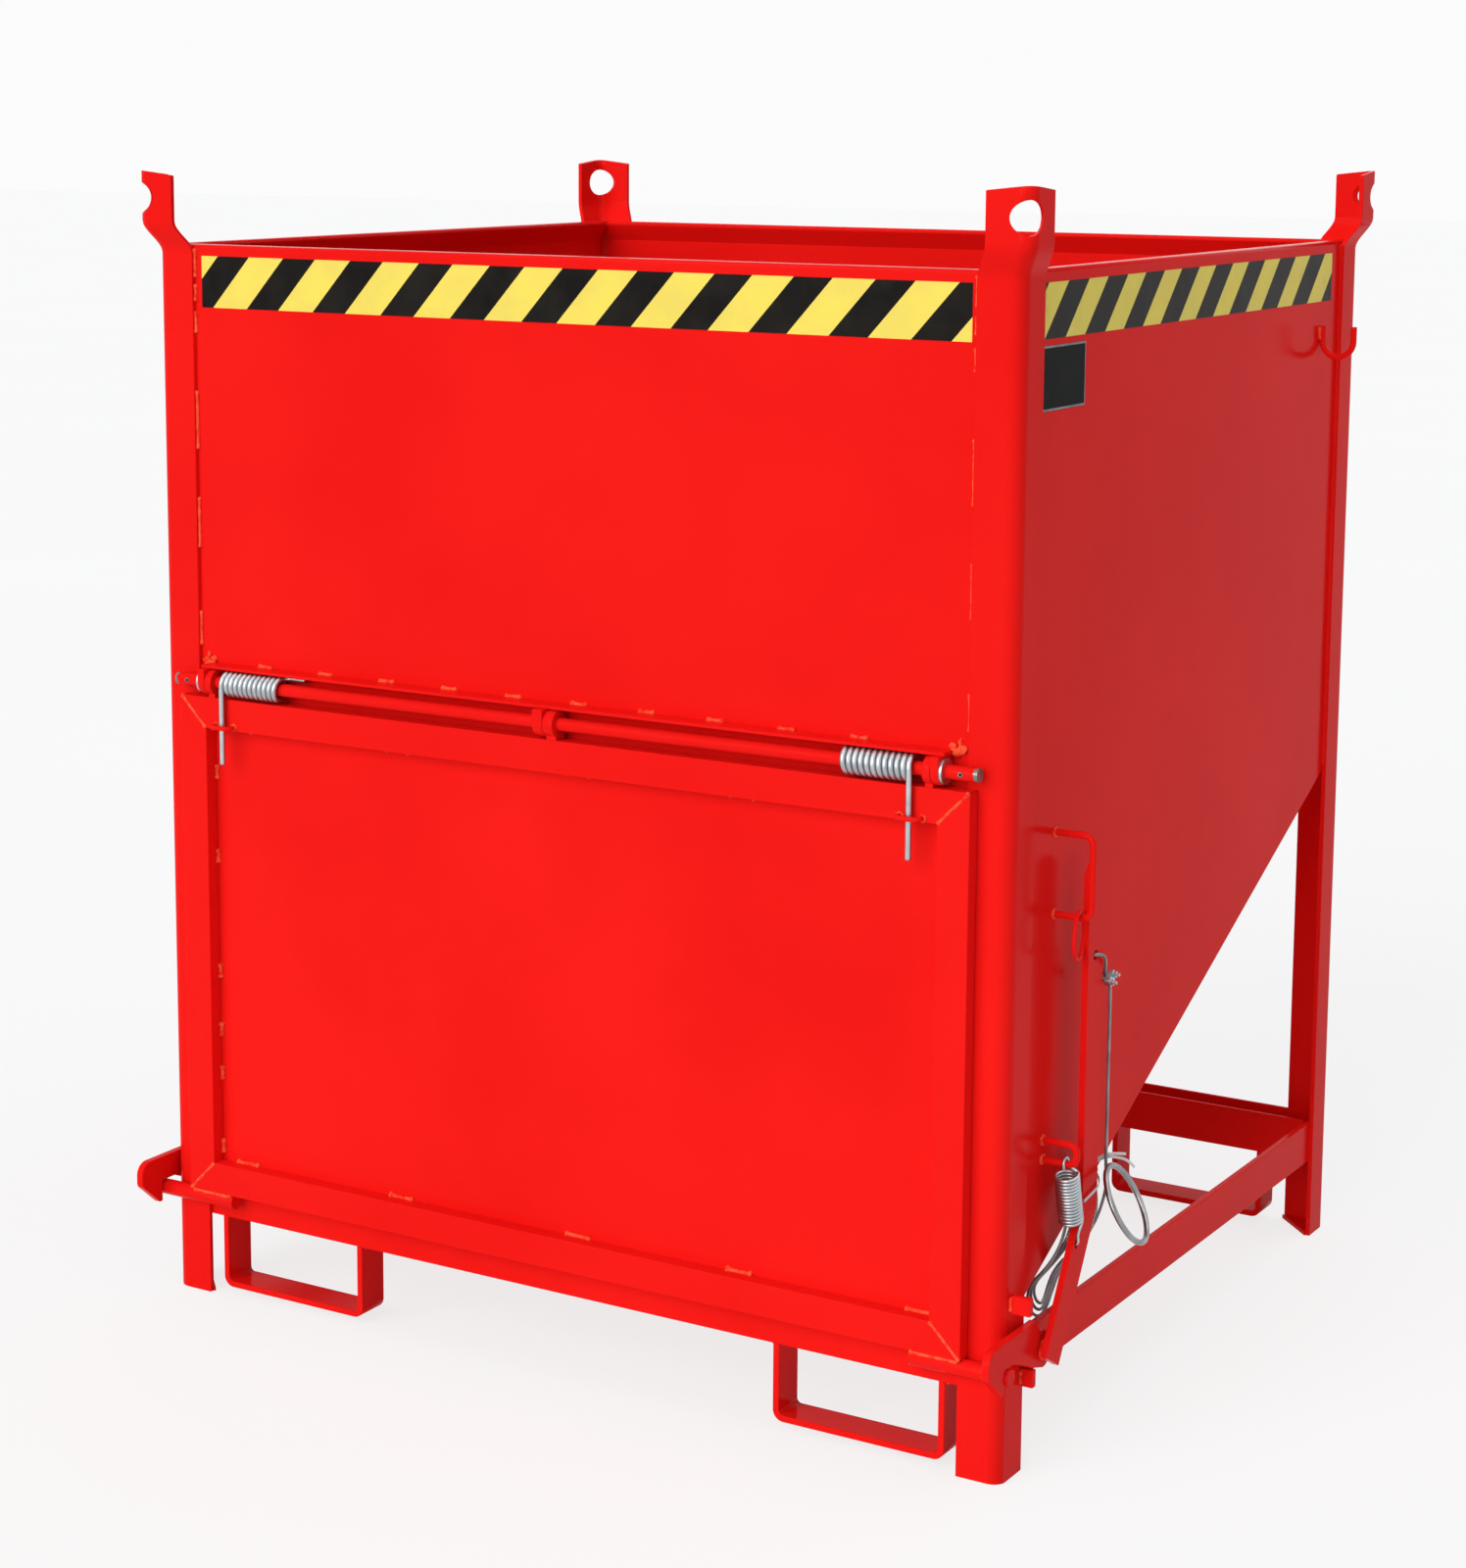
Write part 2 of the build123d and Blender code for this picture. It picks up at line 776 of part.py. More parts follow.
nose_back = pin_y - pin_radius - notch_side
notch_z = pin_z + pin_radius + notch_top
hook_z = shaft_height + hook_top
nose_y = y_front - nose_reach
tip_z = shaft_height - nose_drop
hook_outline = [
    (shaft_y - neck_back, hook_z),
    (nose_y + hook_hub, hook_z),
    (nose_y, hook_z - hook_lead),
    (nose_y, hook_z - hook_lead - nose_flat),
    (nose_back - nose_wall, tip_z),
    (nose_back, tip_z),
    (nose_back, notch_z),
    (nose_back + notch_length, notch_z),
    (shaft_y - heel_front, shaft_height - heel_drop),
    (shaft_y, shaft_height - hook_hub),
    (shaft_y + neck_back, shaft_height + heel_rise),
]
for side, sx in (("left", -1), ("right", 1)):
    with BuildPart() as hook:
        with BuildSketch(Plane.YZ.offset(min(sx * hook_inner, sx * hook_outer))) as section:
            with BuildLine():
                Polyline(*hook_outline, close=True)
            make_face()
            fillet(section.vertices().sort_by_distance(hook_outline[1])[0], hook_lead)
            with Locations((shaft_y, shaft_height)):
                Circle(hook_hub)
                Circle(shaft_radius, mode=Mode.SUBTRACT)
        extrude(amount=hook_wall)
    write(f"hook_{side}", hook.part)

lean = math.radians(lever_lean)
half_width = lever_width / 2
lean_y = math.sin(lean)
lean_z = math.cos(lean)
knee_y = shaft_y + (lever_knee - shaft_height) * math.tan(lean)
end_y = shaft_y - lever_below * lean_y
end_z = shaft_height - lever_below * lean_z
bend_shift = half_width * math.tan(lean / 2)
eye_off = half_width - spring_eye_edge
spring_eye_y = shaft_y + spring_eye_up * lean_y - eye_off * lean_z
spring_eye_z = shaft_height + spring_eye_up * lean_z + eye_off * lean_y
with BuildPart() as latch_lever:
    with BuildSketch(Plane.YZ.offset(lever_inner)) as section:
        with BuildLine():
            Polyline(
                (knee_y - half_width, lever_top - half_width),
                (knee_y - half_width, lever_knee + bend_shift),
                (end_y - half_width * lean_z, end_z + half_width * lean_y),
                (end_y + half_width * lean_z, end_z - half_width * lean_y),
                (knee_y + half_width, lever_knee - bend_shift),
                (knee_y + half_width, lever_top - half_width),
            )
            ThreePointArc(
                (knee_y + half_width, lever_top - half_width),
                (knee_y, lever_top),
                (knee_y - half_width, lever_top - half_width),
            )
        make_face()
        with Locations((shaft_y, shaft_height)):
            Circle(shaft_radius, mode=Mode.SUBTRACT)
        with Locations((spring_eye_y, spring_eye_z)):
            Circle(spring_eye / 2, mode=Mode.SUBTRACT)
        with Locations((knee_y, rope_eye_height)):
            Circle(rope_eye_hole / 2, mode=Mode.SUBTRACT)
    extrude(amount=lever_wall)
write("latch_lever", latch_lever.part)

# The upper stop meets the top edge of the right hook at the end of its swing
swing = math.radians(latch_swing)
upper_y = y_front + stop_back
upper_run = (upper_y - shaft_y - hook_top * math.sin(swing)) / math.cos(swing)
upper_z = shaft_height + hook_top * math.cos(swing) - upper_run * math.sin(swing) + stop_gap
write("stop_tab_upper", box((x_post, upper_y, upper_z),
                            (lever_inner + stop_past_lever, upper_y + stop_wall, upper_z + stop_height)))

# The lower stop stands under the bottom edge of the hook, on the edge of the post
lower_y = y_front + post_leg - stop_wall
heel_y = shaft_y - heel_front
heel_z = shaft_height - heel_drop
edge_share = (lower_y + stop_wall - heel_y) / (nose_back + notch_length - heel_y)
lower_z = heel_z + edge_share * (notch_z - heel_z) - stop_gap
write("stop_tab_lower", box((x_post, lower_y, lower_z - stop_height),
                            (hook_outer + stop_past_hook, lower_y + stop_wall, lower_z)))


# Lever guard, lock ring, rope hook and spring staple on the right wall

guard_y = y_front + guard_back
guard_x = x_wall + guard_reach
guard_route = [
    (x_wall, guard_y, guard_high),
    (guard_x, guard_y, guard_high),
    (guard_x, guard_y, guard_low),
    (x_wall, guard_y, guard_low),
]
write("lever_guard", bent_bar(guard_route, guard_wire, guard_bend))

ring_top = guard_low + guard_wire / 2 + ring_wire / 2 + stop_gap
ring_way = math.radians(ring_turn)
ring_plane = Plane(
    origin=(x_wall + ring_at, guard_y, ring_top - ring_mean),
    x_dir=(0, 0, 1),
    z_dir=(math.cos(ring_way), math.sin(ring_way), 0),
)
with BuildPart(ring_plane) as lock_ring:
    Torus(ring_mean, ring_wire / 2)
write("lock_ring", lock_ring.part)

anchor_y = y_front + anchor_back
anchor_x = x_wall + anchor_reach
anchor_route = [
    (x_wall, anchor_y, anchor_low + anchor_rise),
    (anchor_x, anchor_y, anchor_low + anchor_rise),
    (anchor_x, anchor_y, anchor_low),
    (x_wall, anchor_y, anchor_low),
]
write("spring_anchor", bent_bar(anchor_route, guard_wire, anchor_bend))

hook_y = y_rear - rope_hook_from_rear
rope_hook_low = rim_height - rope_hook_below_rim
hook_x = x_wall + guard_wire / 2 + weld_gap
with BuildPart() as rope_hook:
    with BuildLine() as line:
        stem = Line((hook_x, hook_y, rope_hook_low + rope_hook_stem), (hook_x, hook_y, rope_hook_low))
        bow = TangentArc(stem @ 1, (hook_x + 2 * rope_hook_radius, hook_y, rope_hook_low), tangent=stem % 1)
        Line(bow @ 1, bow @ 1 + Vector(0, 0, rope_hook_stem))
    with BuildSketch(Plane(origin=line.line @ 0, z_dir=line.line % 0)):
        Circle(guard_wire / 2)
    sweep(path=line.wire())
write("rope_hook", rope_hook.part)


# Tension spring between the staple and the lever

lower_eye = Vector(lever_mid, spring_eye_y, spring_eye_z)
upper_eye = Vector(lever_mid, anchor_y, anchor_low)
axis_w = (upper_eye - lower_eye).normalized()
axis_x = Vector(1, 0, 0)
axis_n = axis_w.cross(axis_x)
span = (upper_eye - lower_eye).length
low_half = lever_wall / 2 + hook_clear + tension_wire / 2
high_half = guard_wire / 2 + hook_clear + tension_wire / 2
swing_in = math.radians(hook_swing)
coil_end = 2 * math.pi * tension_turns + math.pi / 2 - swing_in


def tension_point(across, beside, along):
    return lower_eye + axis_x * across + axis_n * beside + axis_w * along


def tension_station(angle):
    along = tension_start + tension_pitch * (angle - swing_in) / (2 * math.pi)
    lead = tension_pitch / (2 * math.pi * tension_mean)
    place = tension_point(tension_mean * math.cos(angle), tension_mean * math.sin(angle), along)
    way = axis_n * math.cos(angle) - axis_x * math.sin(angle) + axis_w * lead
    return place, way.normalized()


tension_stations = [
    (tension_point(-low_half, 0, low_half + tension_wire), -axis_w),
    (tension_point(-low_half, 0, low_half), -axis_w),
    (tension_point(low_half, 0, low_half), axis_w),
    (tension_point(low_half, 0, low_half + tension_wire), axis_w),
]
half_turns = 2 * tension_turns - 1
for half in range(half_turns + 1):
    tension_stations.append(tension_station(swing_in + half * math.pi))
tension_stations.append(tension_station(coil_end))
tension_stations.append((tension_point(0, high_half, span - tension_wire), axis_w))
tension_stations.append((tension_point(0, high_half, span), axis_w))
tension_stations.append((tension_point(0, -high_half, span), -axis_w))
tension_stations.append((tension_point(0, -high_half, span - tension_wire), -axis_w))
write("tension_spring", wound_wire("tension_spring", tension_stations, tension_wire))


# Rope: eye through the lever, clip, plumb run, tied coil and pull ring

eye_centre = Vector(lever_mid, knee_y, rope_eye_height)
rope_way = Vector(0, 1, -1).normalized()
rope_side = Vector(0, 1, 1).normalized()
strand = (rope_wire + strand_gap) / 2
throat = clip_along - clip_length / 2
rope_start = clip_along + clip_length / 2 + rope_wire


def eye_point(across, along):
    return eye_centre + axis_x * across + rope_way * along


eye_stations = [
    (eye_point(-strand, rope_start + rope_wire), -rope_way),
    (eye_point(-strand, throat), -rope_way),
    (eye_point(-eye_half, throat / 2), -rope_way),
    (eye_point(-eye_half, eye_half), -rope_way),
    (eye_point(eye_half, eye_half), rope_way),
    (eye_point(eye_half, throat / 2), rope_way),
    (eye_point(strand, throat), rope_way),
    (eye_point(strand, rope_start), rope_way),
]
write("rope_eye", wound_wire("rope_eye", eye_stations, rope_wire))

clip_centre = eye_point(0, clip_along)
saddle_face = strand + rope_wire / 2 + weld_gap
with BuildPart() as clip_saddle_block:
    saddle_plane = Plane(origin=clip_centre + axis_x * saddle_face, x_dir=rope_side, z_dir=axis_x)
    with BuildSketch(saddle_plane):
        RectangleRounded(2 * (clip_leg + clip_bolt), clip_length, clip_bolt)
        with Locations((-clip_leg, 0), (clip_leg, 0)):
            Circle(clip_bolt / 2 + weld_gap, mode=Mode.SUBTRACT)
    extrude(amount=clip_saddle)
write("clip_saddle", clip_saddle_block.part)

bolt_end = saddle_face + clip_saddle + 2 * nut_wall
with BuildPart() as clip_u_bolt:
    with BuildLine() as line:
        bow_centre = clip_centre - axis_x * strand
        leg_end = clip_centre + axis_x * bolt_end
        leg_side = rope_side * clip_leg
        leg = Line(leg_end + leg_side, bow_centre + leg_side)
        bow = TangentArc(leg @ 1, bow_centre - leg_side, tangent=leg % 1)
        Line(bow @ 1, leg_end - leg_side)
    with BuildSketch(Plane(origin=line.line @ 0, z_dir=line.line % 0)):
        Circle(clip_bolt / 2)
    sweep(path=line.wire())
    nut_seat = clip_centre + axis_x * (saddle_face + clip_saddle)
    nut_plane = Plane(origin=nut_seat, x_dir=rope_side, z_dir=axis_x)
    with BuildSketch(nut_plane):
        with Locations((-clip_leg, 0), (clip_leg, 0)):
            RegularPolygon(nut_flats / 2, 6, major_radius=False)
            Circle(clip_bolt / 2 + weld_gap, mode=Mode.SUBTRACT)
    extrude(amount=nut_wall)
write("clip_bolt", clip_u_bolt.part)

rope_top = eye_point(strand, rope_start)
rope_corner = rope_top + rope_way * rope_drop
rope_foot = Vector(rope_corner.X, rope_corner.Y, tie_height)
rope_turn = math.radians(45)
rope_bend = rope_bend_share * rope_drop / math.tan(rope_turn / 2)
write("pull_rope", bent_bar([rope_top, rope_corner, rope_foot], rope_wire, rope_bend))
print(f"pull_rope: bend radius {rope_bend:.1f} mm")

coil_y = y_front + coil_back
outside_x = x_wall + coil_cross_clear
inside_x = x_wall - rail_wall - coil_inside_clear
low_x = inside_x - coil_inside_clear
crown_x = x_wall + coil_top_reach
down = Vector(0, 0, -1)
back = Vector(0, 1, -coil_lean).normalized()
coil_stations = [
    (rope_foot, down),
    (rope_foot + down * rope_wire, down),
]


def coil_place(x, aside, z):
    """A point of the hank, which leans forward as it hangs."""
    return Vector(x, coil_y + aside - coil_lean * (coil_top - z), z)


crossing = coil_place(inside_x, 0, coil_cross_low) - coil_place(outside_x, 0, coil_cross_high)
crossing = crossing.normalized()
for loop in range(coil_loops):
    half = coil_half - coil_step * loop
    coil_stations.append((coil_place(outside_x, half, coil_cross_high), crossing))
    coil_stations.append((coil_place(inside_x, half, coil_cross_low), crossing))
    coil_stations.append((coil_place(low_x, 0, coil_bottom + coil_bottom_step * loop), -back))
    coil_stations.append((coil_place(inside_x, -half, coil_cross_low), -crossing))
    coil_stations.append((coil_place(outside_x, -half, coil_cross_high), -crossing))
    coil_stations.append((Vector(crown_x + coil_top_step * loop, coil_y, coil_top), back))
coil_stations.append((coil_stations[-1][0] + back * coil_tail, back))
write("rope_coil", wound_wire("rope_coil", coil_stations, rope_wire))

tie_run = coil_top_step * (coil_loops - 1)
tie_bore = rope_wire + 2 * tie_gap
tie_start = Vector(crown_x, coil_y, coil_top) - back * (tie_length / 2)
tie_middle = tie_start + axis_x * (tie_run / 2)
with BuildPart() as rope_tie:
    with BuildSketch(Plane(origin=tie_middle, x_dir=axis_x, z_dir=back)):
        SlotCenterToCenter(tie_run, tie_bore + 2 * tie_wall)
        SlotCenterToCenter(tie_run, tie_bore, mode=Mode.SUBTRACT)
    extrude(amount=tie_length)
write("rope_tie", rope_tie.part)

ring_reach = rope_wire / 2 + pull_ring_wire / 2 + stop_gap
ring_lean = math.radians(pull_ring_lean)
ring_twist = math.radians(pull_ring_turn)
hang = Vector(math.sin(ring_lean), 0, -math.cos(ring_lean))
ring_level = Vector(-math.sin(ring_twist) * math.cos(ring_lean), math.cos(ring_twist),
                    -math.sin(ring_twist) * math.sin(ring_lean))
ring_head = rope_foot + axis_x * ring_reach + down * pull_ring_wire
ring_middle = ring_head + hang * pull_ring_mean
with BuildPart(Plane(origin=ring_middle, x_dir=hang, z_dir=hang.cross(ring_level))) as pull_ring:
    Torus(pull_ring_mean, pull_ring_wire / 2)
write("pull_ring", pull_ring.part)
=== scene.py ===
import json
import math
import bpy
import bmesh
from mathutils import Matrix, Vector, noise


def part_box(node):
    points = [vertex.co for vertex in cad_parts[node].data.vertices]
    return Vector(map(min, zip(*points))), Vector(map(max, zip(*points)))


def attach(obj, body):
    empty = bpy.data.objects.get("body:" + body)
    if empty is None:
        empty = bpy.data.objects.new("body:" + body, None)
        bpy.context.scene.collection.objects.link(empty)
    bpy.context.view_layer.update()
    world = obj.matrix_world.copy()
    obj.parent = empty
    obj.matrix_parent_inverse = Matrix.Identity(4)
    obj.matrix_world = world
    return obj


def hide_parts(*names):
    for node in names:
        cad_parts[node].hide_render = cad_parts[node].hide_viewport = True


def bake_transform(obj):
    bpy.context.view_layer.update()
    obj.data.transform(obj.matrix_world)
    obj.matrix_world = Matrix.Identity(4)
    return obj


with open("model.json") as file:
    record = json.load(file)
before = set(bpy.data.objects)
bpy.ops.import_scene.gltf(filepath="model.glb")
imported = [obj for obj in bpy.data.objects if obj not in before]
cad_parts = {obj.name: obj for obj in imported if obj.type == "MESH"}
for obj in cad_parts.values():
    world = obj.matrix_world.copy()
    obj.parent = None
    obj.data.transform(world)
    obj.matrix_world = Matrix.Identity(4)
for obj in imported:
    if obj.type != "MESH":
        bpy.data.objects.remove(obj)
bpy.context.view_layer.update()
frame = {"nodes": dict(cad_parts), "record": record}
nodes = frame["nodes"]
bpy.context.scene.view_settings.view_transform = "Standard"

# Camera, fitted to the photograph
CAMERA_AT = (2.0976, -3.6410, 1.5410)
CAMERA_YAW = 31.715
CAMERA_PITCH = 8.889
CAMERA_ROLL = -0.197
CAMERA_LENS = 74.466
CAMERA_SENSOR = 36.0
CAMERA_SHIFT = (0.0435, -0.1096)

# Light, floor and backdrop. A level of 1 lights a white sheet to white.
KEY_LEVEL = 0.71
KEY_FROM = (-0.16, -0.90, 0.40)
KEY_ANGLE = 50.0
KEY_COLOUR = (1.0, 0.985, 0.96)
TOP_LEVEL = 0.34
TOP_FROM = (0.20, 0.10, 1.0)
TOP_ANGLE = 70.0
TOP_COLOUR = (1.0, 1.0, 1.0)
WORLD_LEVEL = 0.31
WORLD_COLOUR = (0.84, 0.90, 1.0, 1.0)
BACKDROP_COLOUR = (1.0, 1.0, 1.0, 1.0)
BACKDROP_LEVEL = 0.97
FLOOR_SHOW = 0.78
FLOOR_GLOW = 1.0
FLOOR_HALF = 40.0
FLOOR_DULL = (0.84, 0.84, 0.84, 1.0)
FLOOR_PALE = (0.87, 0.87, 0.87, 1.0)
FLOOR_ROUGH = 0.8
FLOOR_SPECULAR = 0.1

# Model sizes in millimetres, as in the frame
Y_FRONT = -492.5
Y_PANEL = -486.5
Y_REAR = 537.5
Y_BACK_WALL = 531.5
X_POST = 600.0
X_WALL = 594.0
SHEET = 3.0
POST_LEG = 56.0
RIM = 1367.0
RAIL_LOW = 106.0
FLOOR_LOW = 169.0
FLOOR_SLOPE = 0.4986
HINGE = (-506.5, 818.6)
SHELF_HALF = 525.0
SHELF_TOP = 840.0
FLAP_HALF = 557.6
FLAP_BOTTOM = 146.6
FLAP_TOP = 799.4
FLAP_FACE = -513.5
FLAP_BACK = -493.5
BAR_WIDTH = 40.0
FLAP_PIN = (-503.5, 136.5, 10.0)
STAPLE = (486.0, 764.4, 14.0)
SHAFT = (-412.5, 140.0, 10.0)
LEVER_INNER = 620.0
LEVER_MID = 624.0
HOOK_SIDES = (604.0, 614.0)
GUARD_Y = -368.5
GUARD_HEIGHTS = (638.0, 733.0)
ANCHOR_Y = -385.5
ANCHOR_HEIGHTS = (354.0, 377.0)
ROPE_HOOK = (417.5, 1240.0, 1259.0)
STRAP_SIDES = (301.0, 526.0)


def mm(x, y, z):
    """A point given in millimetres of the frame."""
    return Vector((x, y, z)) * 0.001


# Mesh helpers

def new_object(name, mesh, material, smooth=True):
    obj = bpy.data.objects.new(name, mesh)
    bpy.context.scene.collection.objects.link(obj)
    mesh.materials.append(material)
    mesh.polygons.foreach_set("use_smooth", [smooth] * len(mesh.polygons))
    return obj


def object_from(name, bm, material, smooth=True):
    bmesh.ops.recalc_face_normals(bm, faces=bm.faces)
    mesh = bpy.data.meshes.new(name)
    bm.to_mesh(mesh)
    bm.free()
    return new_object(name, mesh, material, smooth)


def frames_along(points):
    """Two cross directions at each point, carried along without twist."""
    tangents = []
    last = len(points) - 1
    for i in range(len(points)):
        way = points[min(i + 1, last)] - points[max(i - 1, 0)]
        tangents.append(way.normalized())
    side = tangents[0].orthogonal().normalized()
    result = []
    for i, tangent in enumerate(tangents):
        if i > 0:
            side = tangents[i - 1].rotation_difference(tangent) @ side
        side = (side - tangent * side.dot(tangent)).normalized()
        result.append((side, tangent.cross(side)))
    return result


def join_rings(bm, rings, closed=False):
    """Skins rings of equal count into a tube, capped unless it closes on itself."""
    pairs = list(zip(rings, rings[1:]))
    if closed:
        pairs.append((rings[-1], rings[0]))
    for low, high in pairs:
        for k in range(len(low)):
            n = (k + 1) % len(low)
            bm.faces.new((low[k], low[n], high[n], high[k]))
    if not closed:
        bm.faces.new(rings[0][::-1])
        bm.faces.new(rings[-1])


def add_tube(bm, points, radius, sides, cross=None, radii=None):
    """A closed round tube along points. Radii, if given, are one for each point."""
    cross = cross or frames_along(points)
    rings = []
    for i, (point, (u, v)) in enumerate(zip(points, cross)):
        size = radii[i] if radii else radius
        ring = []
        for k in range(sides):
            a = 2 * math.pi * k / sides
            ring.append(bm.verts.new(point + (u * math.cos(a) + v * math.sin(a)) * size))
        rings.append(ring)
    join_rings(bm, rings)


STRIP_FLAT = 0.8
STRIP_EDGE = 0.3


def add_strip(bm, points, flat, width, thick, closed=False):
    """A flat band along points, whose broad side lies along the direction flat."""
    rings = []
    count = len(points)
    for i, point in enumerate(points):
        after = points[(i + 1) % count] if closed else points[min(i + 1, count - 1)]
        before = points[i - 1] if closed else points[max(i - 1, 0)]
        tangent = (after - before).normalized()
        broad = (flat - tangent * flat.dot(tangent)).normalized() * width / 2
        out = tangent.cross(broad).normalized() * thick / 2
        flat_side = broad * STRIP_FLAT
        edge = out * STRIP_EDGE
        corners = (flat_side + out, broad + edge, broad - edge, flat_side - out,
                   -flat_side - out, -broad - edge, -broad + edge, -flat_side + out)
        rings.append([bm.verts.new(point + corner) for corner in corners])
    join_rings(bm, rings, closed)


def station_path(stations, step):
    """Points along smooth arcs through (point, direction) stations."""
    points = [stations[0][0].copy()]
    for (p0, t0), (p1, t1) in zip(stations, stations[1:]):
        chord = (p1 - p0).length
        turn = t0.angle(t1, 0.0)
        stretch = 1.0
        if turn > 1e-4:
            stretch = 2 * math.tan(turn / 4) / math.sin(turn / 2)
        d0 = t0 * chord * stretch
        d1 = t1 * chord * stretch
        count = max(1, math.ceil(chord * stretch / step))
        for k in range(1, count + 1):
            t = k / count
            a = (1 + 2 * t) * (1 - t) ** 2
            b = t * (1 - t) ** 2
            c = t * t * (3 - 2 * t)
            d = t * t * (t - 1)
            points.append(p0 * a + d0 * b + p1 * c + d1 * d)
    return points


def even_points(points, step):
    """The same path with its points a steady step apart."""
    total = sum((b - a).length for a, b in zip(points, points[1:]))
    count = max(2, round(total / step))
    gap = total / count
    result = [points[0].copy()]
    run = 0.0
    due = gap
    for a, b in zip(points, points[1:]):
        length = (b - a).length
        while due <= run + length + 1e-9 and len(result) < count:
            result.append(a.lerp(b, (due - run) / length))
            due += gap
        run += length
    result.append(points[-1].copy())
    return result


def path_length(points):
    return sum((b - a).length for a, b in zip(points, points[1:]))


# Material helpers

def new_material(name):
    material = bpy.data.materials.new(name)
    material.use_nodes = True
    tree = material.node_tree
    shader = next(n for n in tree.nodes if n.type == "BSDF_PRINCIPLED")
    return material, tree, shader


def add_node(tree, kind, values=None, **settings):
    node = tree.nodes.new(kind)
    for name, value in settings.items():
        setattr(node, name, value)
    for name, value in (values or {}).items():
        node.inputs[name].default_value = value
    return node


def place_of(tree):
    return add_node(tree, "ShaderNodeTexCoord").outputs["Object"]


def cloud(tree, place, scale, detail=3.0):
    node = add_node(tree, "ShaderNodeTexNoise", {"Scale": scale, "Detail": detail})
    tree.links.new(place, node.inputs["Vector"])
    return node.outputs["Fac"]


def ramp(tree, factor, stops):
    """Colour stops: (place, colour) from low to high."""
    node = add_node(tree, "ShaderNodeValToRGB")
    elements = node.color_ramp.elements
    while len(elements) < len(stops):
        elements.new(0.5)
    for element, (at, colour) in zip(elements, stops):
        element.position = at
        element.color = colour
    tree.links.new(factor, node.inputs["Fac"])
    return node.outputs["Color"]


def spread(tree, factor, low, high, start=0.3, end=0.7):
    limits = {"From Min": start, "From Max": end, "To Min": low, "To Max": high}
    node = add_node(tree, "ShaderNodeMapRange", limits)
    tree.links.new(factor, node.inputs["Value"])
    return node.outputs["Result"]


def maths(tree, operation, first, second=None):
    """A Math node. Each input is a socket or a number."""
    node = add_node(tree, "ShaderNodeMath", operation=operation)
    for value, socket in zip((first, second), node.inputs):
        if isinstance(value, bpy.types.NodeSocket):
            tree.links.new(value, socket)
        elif value is not None:
            socket.default_value = value
    return node.outputs[0]


def blend_colours(tree, factor, low, high):
    node = add_node(tree, "ShaderNodeMix", data_type="RGBA")
    tree.links.new(factor, node.inputs["Factor"])
    tree.links.new(low, node.inputs[6])
    tree.links.new(high, node.inputs[7])
    return node.outputs[2]


def bump(tree, height, distance, below=None):
    node = add_node(tree, "ShaderNodeBump", {"Distance": distance, "Strength": 1.0})
    tree.links.new(height, node.inputs["Height"])
    if below is not None:
        tree.links.new(below, node.inputs["Normal"])
    return node.outputs["Normal"]


# Materials

RED_DEEP = (0.77, 0.0080, 0.0062, 1.0)
RED_BRIGHT = (0.83, 0.0108, 0.0082, 1.0)
# Weld tint: the paler orange spots on the beads are partly thinner paint and partly painted highlights
# on the weld lumps
WELD_DEEP = (0.80, 0.012, 0.007, 1.0)
WELD_THIN_PAINT_AND_GLINT = (0.95, 0.11, 0.045, 1.0)
PAINT_SPECULAR = 0.022
FILM_SPECULAR = 0.05
PLATE_SPECULAR = 0.015
ZINC_DARK = (0.40, 0.43, 0.455, 1.0)
ZINC_LIGHT = (0.52, 0.55, 0.575, 1.0)
GALVANISED_DARK = (0.20, 0.21, 0.215, 1.0)
GALVANISED_LIGHT = (0.36, 0.37, 0.38, 1.0)
STEEL_DARK = (0.14, 0.125, 0.115, 1.0)
STEEL_LIGHT = (0.30, 0.28, 0.26, 1.0)
TAPE_YELLOW = (0.86, 0.69, 0.11, 1.0)
TAPE_YELLOW_WORN = (0.80, 0.64, 0.12, 1.0)
TAPE_BLACK = (0.008, 0.007, 0.006, 1.0)
TAPE_BLACK_WORN = (0.014, 0.012, 0.010, 1.0)
PLATE_DARK = (0.010, 0.0105, 0.011, 1.0)
PLATE_WORN = (0.017, 0.0175, 0.018, 1.0)
PLATE_EDGE = (0.11, 0.115, 0.12, 1.0)
PLATE_EDGE_LIGHT = (0.20, 0.205, 0.21, 1.0)
TIE_DULL = (0.62, 0.61, 0.60, 1.0)
TIE_PALE = (0.74, 0.73, 0.72, 1.0)
BARE_ROD_FROM = 0.5625
BARE_ROD_RAGGED = 0.002
BARE_ROD_METAL = 0.55
TIE_SPECULAR = 0.4
# How large the patches of a finish are (a higher scale is finer), and how deep its bumps are in metres
TINT_SCALE = 3.0
GLOSS_SCALE = 14.0
GLOSS_ROUGH = (0.15, 0.23)
WAVE_SCALE = 5.0
WAVE_DEPTH = 0.0007
PEEL_SCALE = 420.0
PEEL_DEPTH = 0.00005
METAL_TINT_SCALE = 45.0
METAL_GLOSS_SCALE = 60.0
TAPE_TOP = 1.353
TAPE_FADE_SCALE = 22.0
TAPE_ROUGH = (0.26, 0.38)
TAPE_WAVE_SCALE = 30.0
TAPE_WAVE_DEPTH = 0.0003


def enamel_surface(tree, shader, place):
    """Gives the shader gentle sheet waves and a fine orange peel, and returns slow gloss changes."""
    gloss = spread(tree, cloud(tree, place, GLOSS_SCALE), *GLOSS_ROUGH)
    waves = bump(tree, cloud(tree, place, WAVE_SCALE, 1.0), WAVE_DEPTH)
    peel = bump(tree, cloud(tree, place, PEEL_SCALE, 2.0), PEEL_DEPTH, waves)
    tree.links.new(peel, shader.inputs["Normal"])
    shader.inputs["Specular IOR Level"].default_value = PAINT_SPECULAR
    return gloss


